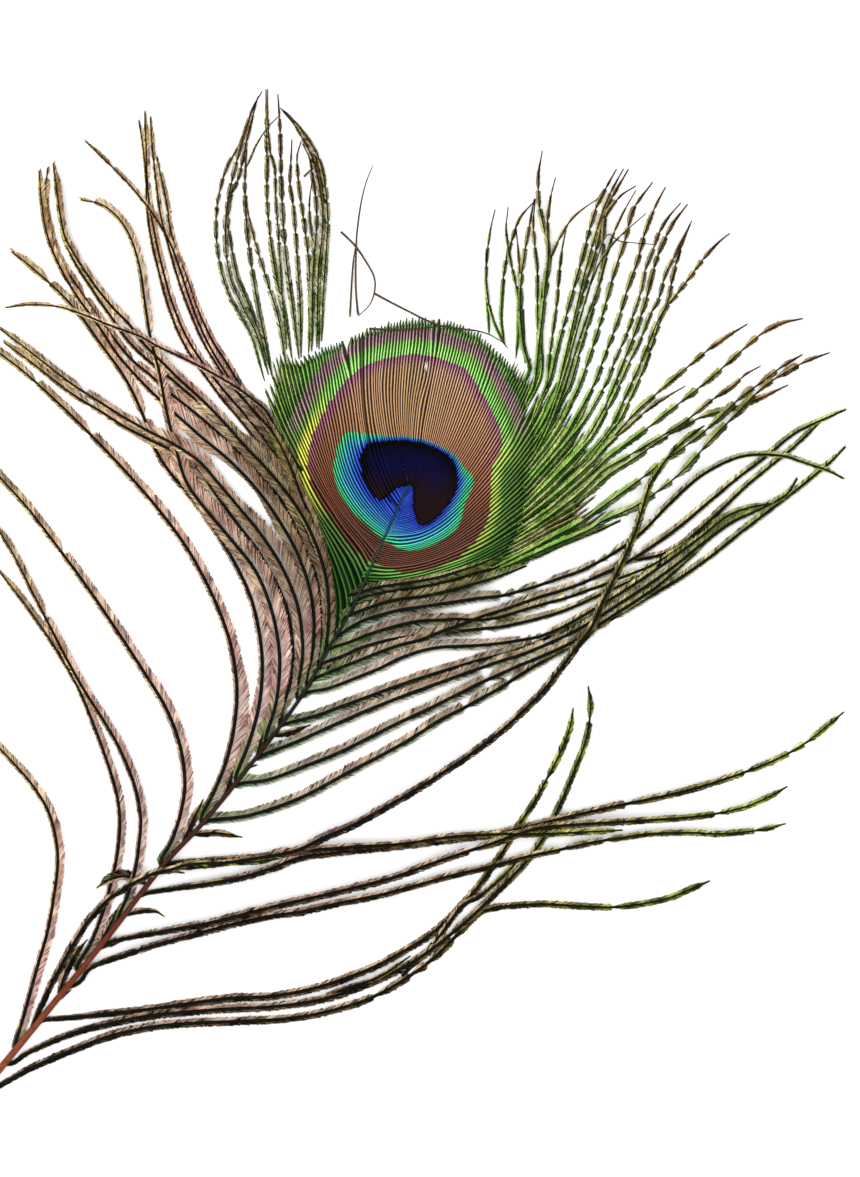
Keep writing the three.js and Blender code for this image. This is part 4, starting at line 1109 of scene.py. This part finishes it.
def vane_finish():
    """The eye's zones, by a closed barb's distances from their outlines in millimetres."""
    made = Finish("closed vane", Metallic=0.0, Specular_IOR_Level=0.04)
    rise, aside = made.value("rise"), made.value("aside")
    kidney, blue, bronze = made.value("kidney"), made.value("blue"), made.value("bronze")
    # outside the bronze: a green ring, a mauve band above it and green barbs beyond
    ring = made.ramp(rise, [
        (-1, 110, 170, 76), (-0.7, 150, 176, 76), (-0.3, 176, 196, 90),
        (0.1, 180, 212, 96), (0.5, 140, 216, 108), (1.2, 160, 230, 120)], -1, 1.2)
    beyond = made.ramp(rise, [
        (-1, 60, 110, 46), (-0.5, 84, 124, 56), (0.3, 110, 150, 70),
        (1.2, 140, 206, 96)], -1, 1.2)
    left_low = made.product(made.ranged(aside, -0.2, -0.5), made.ranged(rise, 0.1, -0.3))
    ring = made.mix(left_low, ring, rgb(84, 116, 60))
    warm = made.product(made.ranged(aside, -0.3, -0.8), made.ranged(rise, -0.5, -0.1),
                        made.ranged(rise, 0.8, 0.4))
    ring = made.mix(warm, ring, rgb(226, 228, 84))
    color = made.mix(made.ranged(bronze, 1.2, 2.4), ring, beyond)
    mauve = made.product(made.ranged(bronze, 2.5, 3.4), made.ranged(bronze, 6.0, 5.0),
                         made.ranged(rise, 0.3, 0.6))
    color = made.mix(mauve, color, rgb(180, 146, 148))
    tips = made.product(made.ranged(made.value("tip"), 2.0, 0.8), made.ranged(rise, 0.5, 0.9))
    color = made.mix(tips, color, rgb(80, 136, 44))
    # the bronze, with its purple rim above
    disc = made.ramp(rise, [
        (-1, 112, 72, 58), (-0.6, 112, 72, 58), (-0.2, 148, 94, 72),
        (0.1, 174, 120, 88), (0.5, 196, 148, 110), (1.2, 206, 164, 138)], -1, 1.2)
    middle = made.ranged(made.maths("ABSOLUTE", aside), 0.5, 0.15)
    olive = made.product(middle, made.ranged(rise, 0.3, 0.5), 0.6)
    disc = made.mix(olive, disc, rgb(180, 146, 98))
    shaded = made.mix(1.0, disc, (0.6, 0.5, 0.46), "MULTIPLY")
    disc = made.mix(made.ranged(aside, -0.2, -0.9), disc, shaded)
    rim = made.product(made.ranged(bronze, -2.6, -0.5), made.ranged(rise, -0.2, 0.5), 0.85)
    disc = made.mix(rim, disc, rgb(166, 96, 136))
    color = made.mix(made.ranged(bronze, 0.1, -0.1), color, disc)
    # the blue, deeper towards the kidney
    inner = made.ramp(blue, [
        (-6, 48, 80, 200), (-4.2, 52, 100, 204), (-3.0, 60, 140, 204),
        (-1.8, 70, 172, 190), (-0.8, 66, 196, 150), (0, 66, 212, 116)], -6, 0)
    inner = made.mix(made.ranged(kidney, 1.3, 0.1), inner, rgb(40, 66, 200))
    color = made.mix(made.ranged(blue, 0.15, -0.15), color, inner)
    # each barb: a grainy light band between dark lines, which are painted shade in the gaps between
    # barbs; further out from the bronze they shift onto the half of each barb away from the light
    run, across, shade = made.value("run"), made.value("across"), made.value("shade")
    factors = ((run, 3.6), (across, 1.2), (shade, 90.0))
    place = made.vector(*(made.product(value, factor) for value, factor in factors))
    grain = made.add("ShaderNodeTexNoise", {"Vector": place, "Scale": 1.0})[0]
    outer = made.ranged(bronze, 2.4, 4.5)
    beside = made.maths("ABSOLUTE", made.maths("MULTIPLY_ADD", outer, 0.35, across))
    edge = made.maths("ADD", beside, made.ranged(grain, *NOISE_SPAN, -0.15, 0.15))
    dark = made.ranged(made.maths("MULTIPLY_ADD", outer, 0.1, edge), 0.14, 0.42)
    dark = made.maths("MAXIMUM", dark, made.ranged(shade, 0.05, 0.04, 0, 0.85))
    # the painted shade darkens each barb's edges
    color = made.mix(dark, color, made.mix(0.07, rgb(5, 3, 1), color))
    color = made.lit(color, made.product(made.ranged(grain, *NOISE_SPAN, 0.85, 1.6),
                                         made.ranged(shade, 0, 1, 0.78, 1.12)))
    # the kidney: black at its rim, navy inside and brown in its lower lobes
    spot = made.ramp(kidney, [
        (-4, 8, 6, 56), (-2, 6, 5, 40), (-1, 2, 2, 8), (0, 1, 1, 2)], -4, 0)
    low = made.product(made.ranged(rise, 0.02, -0.3), made.ranged(kidney, -0.1, -0.8))
    spot = made.mix(low, spot, rgb(34, 18, 20))
    # the painted shade between barbs, half as strong in the kidney
    spot = made.mix(dark, spot, made.mix(0.5, rgb(3, 3, 4), spot))
    color = made.mix(made.ranged(kidney, 0.1, -0.1), color, spot)
    return made.surfaced(color, grain, (0.45, 0.7), grain, 0.4, 0.04 * MM)


def shaft_finish():
    made = Finish("shaft horn", Metallic=0.0, Specular_IOR_Level=0.1)
    color = made.ramp(made.value("along"), [
        (0, 190, 150, 100), (0.3, 150, 80, 50), (0.45, 120, 52, 28),
        (0.6, 60, 24, 14), (0.75, 12, 10, 6), (0.88, 8, 26, 18),
        (0.93, 12, 60, 50), (1, 12, 50, 80)])
    streak = made.noise(700, 4)
    color = made.mix(made.ranged(streak, 0.4, 0.7, 0, 0.5), color, rgb(66, 40, 34))
    return made.surfaced(color, streak, (0.45, 0.65), made.noise(3000), 0.3)


# --- how the barbs of each part of the feather look

# "step" goes between a strand's points; "widths" and "rib" change along it, and "point" is how
# long it narrows. "left" and "right" are how wide barbules spread for each unit of width, "splay"
# their angles in degrees, and "ragged" how much they vary. "fill" is how far they reach for
# neighbours. Clumps are "bead" long, with "bare" between them, in the part "beads" of the length.
# "root" is how far back a barb is led, "dusk" how dark painted shade makes it round the eye.
# Barbules are "spacing" apart and "blade" wide, in millimetres, and pointed if "fuzz".
OPEN = {
    "step": 0.4 * MM, "widths": (0.5, 0.8, 1, 0.9, 0.7), "ragged": 0.1, "bead": 12 * MM,
    "bare": 0.25 * MM, "beads": (0.5, 1), "left": 0.4, "right": 0.6, "fill": (), "dusk": 1,
    "splay_left": 30, "splay_right": 32, "rib": (0.7, 0.6, 0.5, 0.25), "root": 7, "fuzz": False,
    "spacing": 0.13, "blade": 0.2, "point": 5 * MM}
LEFT = {**OPEN, "widths": (1, 0.9, 1, 0.9, 0.7), "left": 0.38, "right": 0.8,
        "fill": (1.7 * MM, 2.6 * MM), "bead": 25 * MM, "rib": (0.75, 0.75, 0.6, 0.3),
        "blade": 0.17, "spacing": 0.12}
UPPER = {**LEFT, "left": 0.35, "right": 0.62, "rib": (0.6, 0.6, 0.5, 0.3)}
TUFT = {**OPEN, "step": 0.2 * MM, "left": 0.52, "right": 0.5, "splay_right": 28,
        "bead": 4.2 * MM, "bare": 0.1 * MM, "beads": (0.3, 0.93),
        "widths": (0.3, 0.8, 1, 1, 0.8), "rib": (0.3, 0.35, 0.35, 0.3), "root": 0,
        "blade": 0.16, "dusk": 0.1, "point": 9 * MM}
LEFT_TUFT = {**TUFT, "root": 6, "widths": (0.2, 0.7, 1.15, 1, 0.7), "beads": (0.36, 0.95)}
FAN = {**TUFT, "bead": 6.5 * MM, "splay_left": 15, "splay_right": 15, "beads": (0.4, 0.93),
       "left": 0.5, "right": 0.45}
OUTER = {**TUFT, "splay_left": 6, "splay_right": 7, "blade": 0.13}
RIGHT = {**OPEN, "left": 0.7, "right": 0.6, "fill": (1.6 * MM, 1.8 * MM), "bead": 16 * MM,
         "beads": (0.3, 0.62), "widths": (1, 0.95, 1, 0.7, 0.5), "splay_left": 38,
         "splay_right": 36, "rib": (0.65, 0.7, 0.65, 0.4), "fuzz": True, "dusk": 0.7,
         "blade": 0.15, "spacing": 0.11}
LOWER = {**OPEN, "bead": 30 * MM, "left": 0.46, "right": 0.42, "splay_left": 26,
         "splay_right": 22, "beads": (0.75, 1), "rib": (0.75, 0.75, 0.65, 0.35)}
STUB = {**LOWER, "beads": (1, 1), "root": 4, "left": 0.9, "right": 0.9}
WISP = {**OPEN, "left": 0, "right": 0, "root": 0}

HERLS = herl_tree()
RIB_STEP, UNEVENNESS = 0.8 * MM, 0.07
LEFT_BARBULE = barbule("barbule_left", 0.1, True)
RIGHT_BARBULE = barbule("barbule_right", -0.1, True)
FUZZ_BARBULE = barbule("barbule_fuzz", -0.2, False)


def herls(name, nodes, barbs, look, finishes):
    """One piece of open barbs that stands for its nodes."""
    rng = np.random.default_rng(SEED + len(name) + len(barbs))
    strands = [open_barb(barb, look, rng) for barb in barbs]
    if look["fill"]:
        fill_to_neighbours(strands, look["fill"])
    for strand in strands:
        spread_to_reach(strand, look, rng)
    with_barbules(name, nodes, strands, look, finishes)


def with_barbules(name, nodes, strands, look, finishes):
    """One piece of strands with their barbules. The finishes are of its ribs, left and right."""
    rib, left, right = finishes
    piece = grown(strands_object(name, strands), HERLS, {
        "Rib Step": RIB_STEP, "Barbule Step": look["spacing"] * MM,
        "Barbule Width": look["blade"] * MM,
        "Left Splay": math.radians(look["splay_left"]),
        "Right Splay": math.radians(look["splay_right"]),
        "Unevenness": UNEVENNESS, "Seed": SEED, "Left Barbule": LEFT_BARBULE,
        "Right Barbule": FUZZ_BARBULE if look["fuzz"] else RIGHT_BARBULE,
        "Rib Finish": rib, "Left Finish": left, "Right Finish": right})
    finished(piece, nodes)


def finished(piece, nodes):
    """Says what a piece rides on and which nodes it stands for."""
    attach(piece, "root")
    if nodes:
        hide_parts(*nodes)
    piece.data.calc_loop_triangles()
    print(piece.name, len(piece.data.loop_triangles), "triangles")


def numbered(stem, first, last):
    """Names of nodes, from the first number to the last."""
    return [f"{stem}_{n:02d}" for n in range(first, last + 1)]


LEFT_SET = (LEFT_RIB, LEFT_FRINGE, LEFT_INNER)
GREEN_SET = (GREEN_RIB, GREEN_FRINGE, GREEN_SHADED_SIDE)
RIGHT_SET = (RIGHT_RIB, RIGHT_FRINGE, RIGHT_SHADED_SIDE)
# the eye fringe's right barbules are dark: painted shade that fills the gaps between the closed
# barbs
OUTER_SET = (RIGHT_RIB, GREEN_FRINGE, GREEN_SHADED_SIDE)
PALE_SET = (GREEN_RIB, PALE_FRINGE, PALE_SHADED_SIDE)
LOWER_SET = (RIGHT_RIB, LOWER_FRINGE, LOWER_SHADED_SIDE)

WISP_SET = (WISP_RIB, LEFT_FRINGE, LEFT_INNER)

CLOSED = vane_lines()
herls("left_herls", numbered("barb_left", 1, 13), LEFT_BARBS, LEFT, LEFT_SET)
herls("upper_left_herls", numbered("barb_upper_left", 1, 3),
      UPPER_LEFT_BARBS, UPPER, LEFT_SET)
herls("left_tuft_herls", numbered("tuft_left", 1, 8), LEFT_TUFT_BARBS, LEFT_TUFT,
      PALE_SET)
herls("right_tuft_herls", numbered("tuft_right", 1, 10),
      rooted(RIGHT_TUFT_BARBS, CLOSED), TUFT, GREEN_SET)
herls("upper_right_herls", numbered("barb_upper_right", 1, 5),
      rooted(UPPER_RIGHT_BARBS, CLOSED), FAN, GREEN_SET)
herls("right_herls", numbered("barb_right", 8, 14), RIGHT_BARBS, RIGHT, RIGHT_SET)
herls("lower_right_herls", numbered("barb_right", 1, 7), LOWER_RIGHT_BARBS, LOWER,
      LOWER_SET)
herls("stubs", [], STUBS, STUB, LOWER_SET)
herls("wisps", [], WISPS, WISP, WISP_SET)

vane_rng = np.random.default_rng(SEED)
closed_strands = vane_strands(CLOSED, vane_rng)
vane = grown(strands_object("eye_barbs", closed_strands), vane_tree(),
             {"Ridge": 0.4, "Finish": vane_finish()})
finished(vane, ["eye_vane"])
with_barbules("eye_fringe", [], outer_strands(closed_strands, vane_rng), OUTER,
              OUTER_SET)


SHAFT_POINTS = 160
SHAFT_REST = 0.95 * MM  # height of its middle line, half its greatest height


def shaft_tree():
    """A smooth rod. It reads from its strand: half (half its width) and flat (height to width)."""
    tree = Tree("Shaft", {"Rest": "Float", "Finish": "Material"})
    curve = strand_curve(tree)
    section = tree.add("GeometryNodeCurvePrimitiveCircle", {"Resolution": 20, "Radius": 1.0})[0]
    rod = tree.add("GeometryNodeCurveToMesh", {
        "Curve": curve, "Profile Curve": section, "Scale": tree.value("half"),
        "Fill Caps": True})[0]
    place = tree.add("GeometryNodeInputPosition")[0]
    height = tree.add("ShaderNodeSeparateXYZ", {0: place})[2]
    added = tree.maths("MULTIPLY", height, tree.maths("SUBTRACT", tree.value("flat"), 1.0))
    moved = tree.add("GeometryNodeSetPosition", {
        "Geometry": rod, "Offset": tree.vector(0, 0, added)})[0]
    moved = tree.add("GeometryNodeTransform", {
        "Geometry": moved, "Translation": tree.vector(0, 0, tree.inputs["Rest"])})[0]
    moved = tree.add("GeometryNodeSetShadeSmooth", {"Geometry": moved})[0]
    return tree.end(tree.painted(moved, tree.inputs["Finish"]))


def shaft_strand():
    line = to_part(curve_through(np.array(SHAFT_ROUTE, float)))
    along = np.linspace(0, 1, SHAFT_POINTS)
    line = resampled(line, along)
    width = np.interp(along, *SHAFT_WIDTHS) * MM
    height = np.interp(along, *SHAFT_HEIGHTS) * MM
    return {"points": np.column_stack((line, np.zeros(SHAFT_POINTS))), "along": along,
            "half": width / 2, "flat": height / width}


shaft = grown(strands_object("shaft_rod", [shaft_strand()]), shaft_tree(),
              {"Rest": SHAFT_REST, "Finish": shaft_finish()})
finished(shaft, ["shaft"])

for pattern in (LEFT_BARBULE, RIGHT_BARBULE, FUZZ_BARBULE):
    bpy.data.objects.remove(pattern)


# --- floor, lights and camera

FLOOR_HALF = 3  # metres
KEY_LIGHT = ((-0.6, 0.1, 0.6), 0.6, 3.4)  # its place and width in metres, and its watts
SKY_LIGHT = ((0.1, -0.05, 1.1), 1.0, 11.5)
WORLD_LIGHT = 0.36
SENSOR = 36  # millimetres
CAMERA_HEIGHT = 0.65


def floor():
    far = FLOOR_HALF
    mesh = bpy.data.meshes.new("floor")
    corners = [(-far, -far, 0), (far, -far, 0), (far, far, 0), (-far, far, 0)]
    mesh.from_pydata(corners, [], [(0, 1, 2, 3)])
    pale = Finish("pale paper", Roughness=0.9)
    patch = pale.ranged(pale.noise(40), *NOISE_SPAN)
    pale.paint(pale.mix(patch, rgb(250, 250, 250), rgb(253, 253, 253)))
    mesh.materials.append(pale.material)
    placed("floor", mesh)


def area_light(name, place, width, watts):
    """A round light that faces the middle of the feather."""
    light = bpy.data.lights.new(name, "AREA")
    light.shape, light.size, light.energy = "DISK", width, watts
    made = placed(name, light)
    made.location = place
    made.rotation_euler = (-Vector(place)).to_track_quat("-Z", "Y").to_euler()


def camera():
    """Looks straight down, turned so that the feather leans as on the sketch."""
    lens = bpy.data.cameras.new("camera")
    lens.sensor_fit, lens.sensor_height, lens.sensor_width = "AUTO", SENSOR, SENSOR
    lens.lens = SENSOR * CAMERA_HEIGHT / VIEW_HEIGHT
    made = placed("camera", lens)
    made.location = (*to_part([VIEW_MIDDLE_STEPS])[0], CAMERA_HEIGHT)
    made.rotation_euler = (0, 0, SHAFT_LEAN)
    bpy.context.scene.camera = made


floor()
area_light("key", *KEY_LIGHT)
area_light("sky", *SKY_LIGHT)
camera()
world = bpy.data.worlds.new("studio")
world.use_nodes = True
background = world.node_tree.nodes["Background"].inputs
background["Color"].default_value = (1, 1, 1, 1)
background["Strength"].default_value = WORLD_LIGHT
bpy.context.scene.world = world
bpy.context.scene.view_settings.view_transform = "Standard"
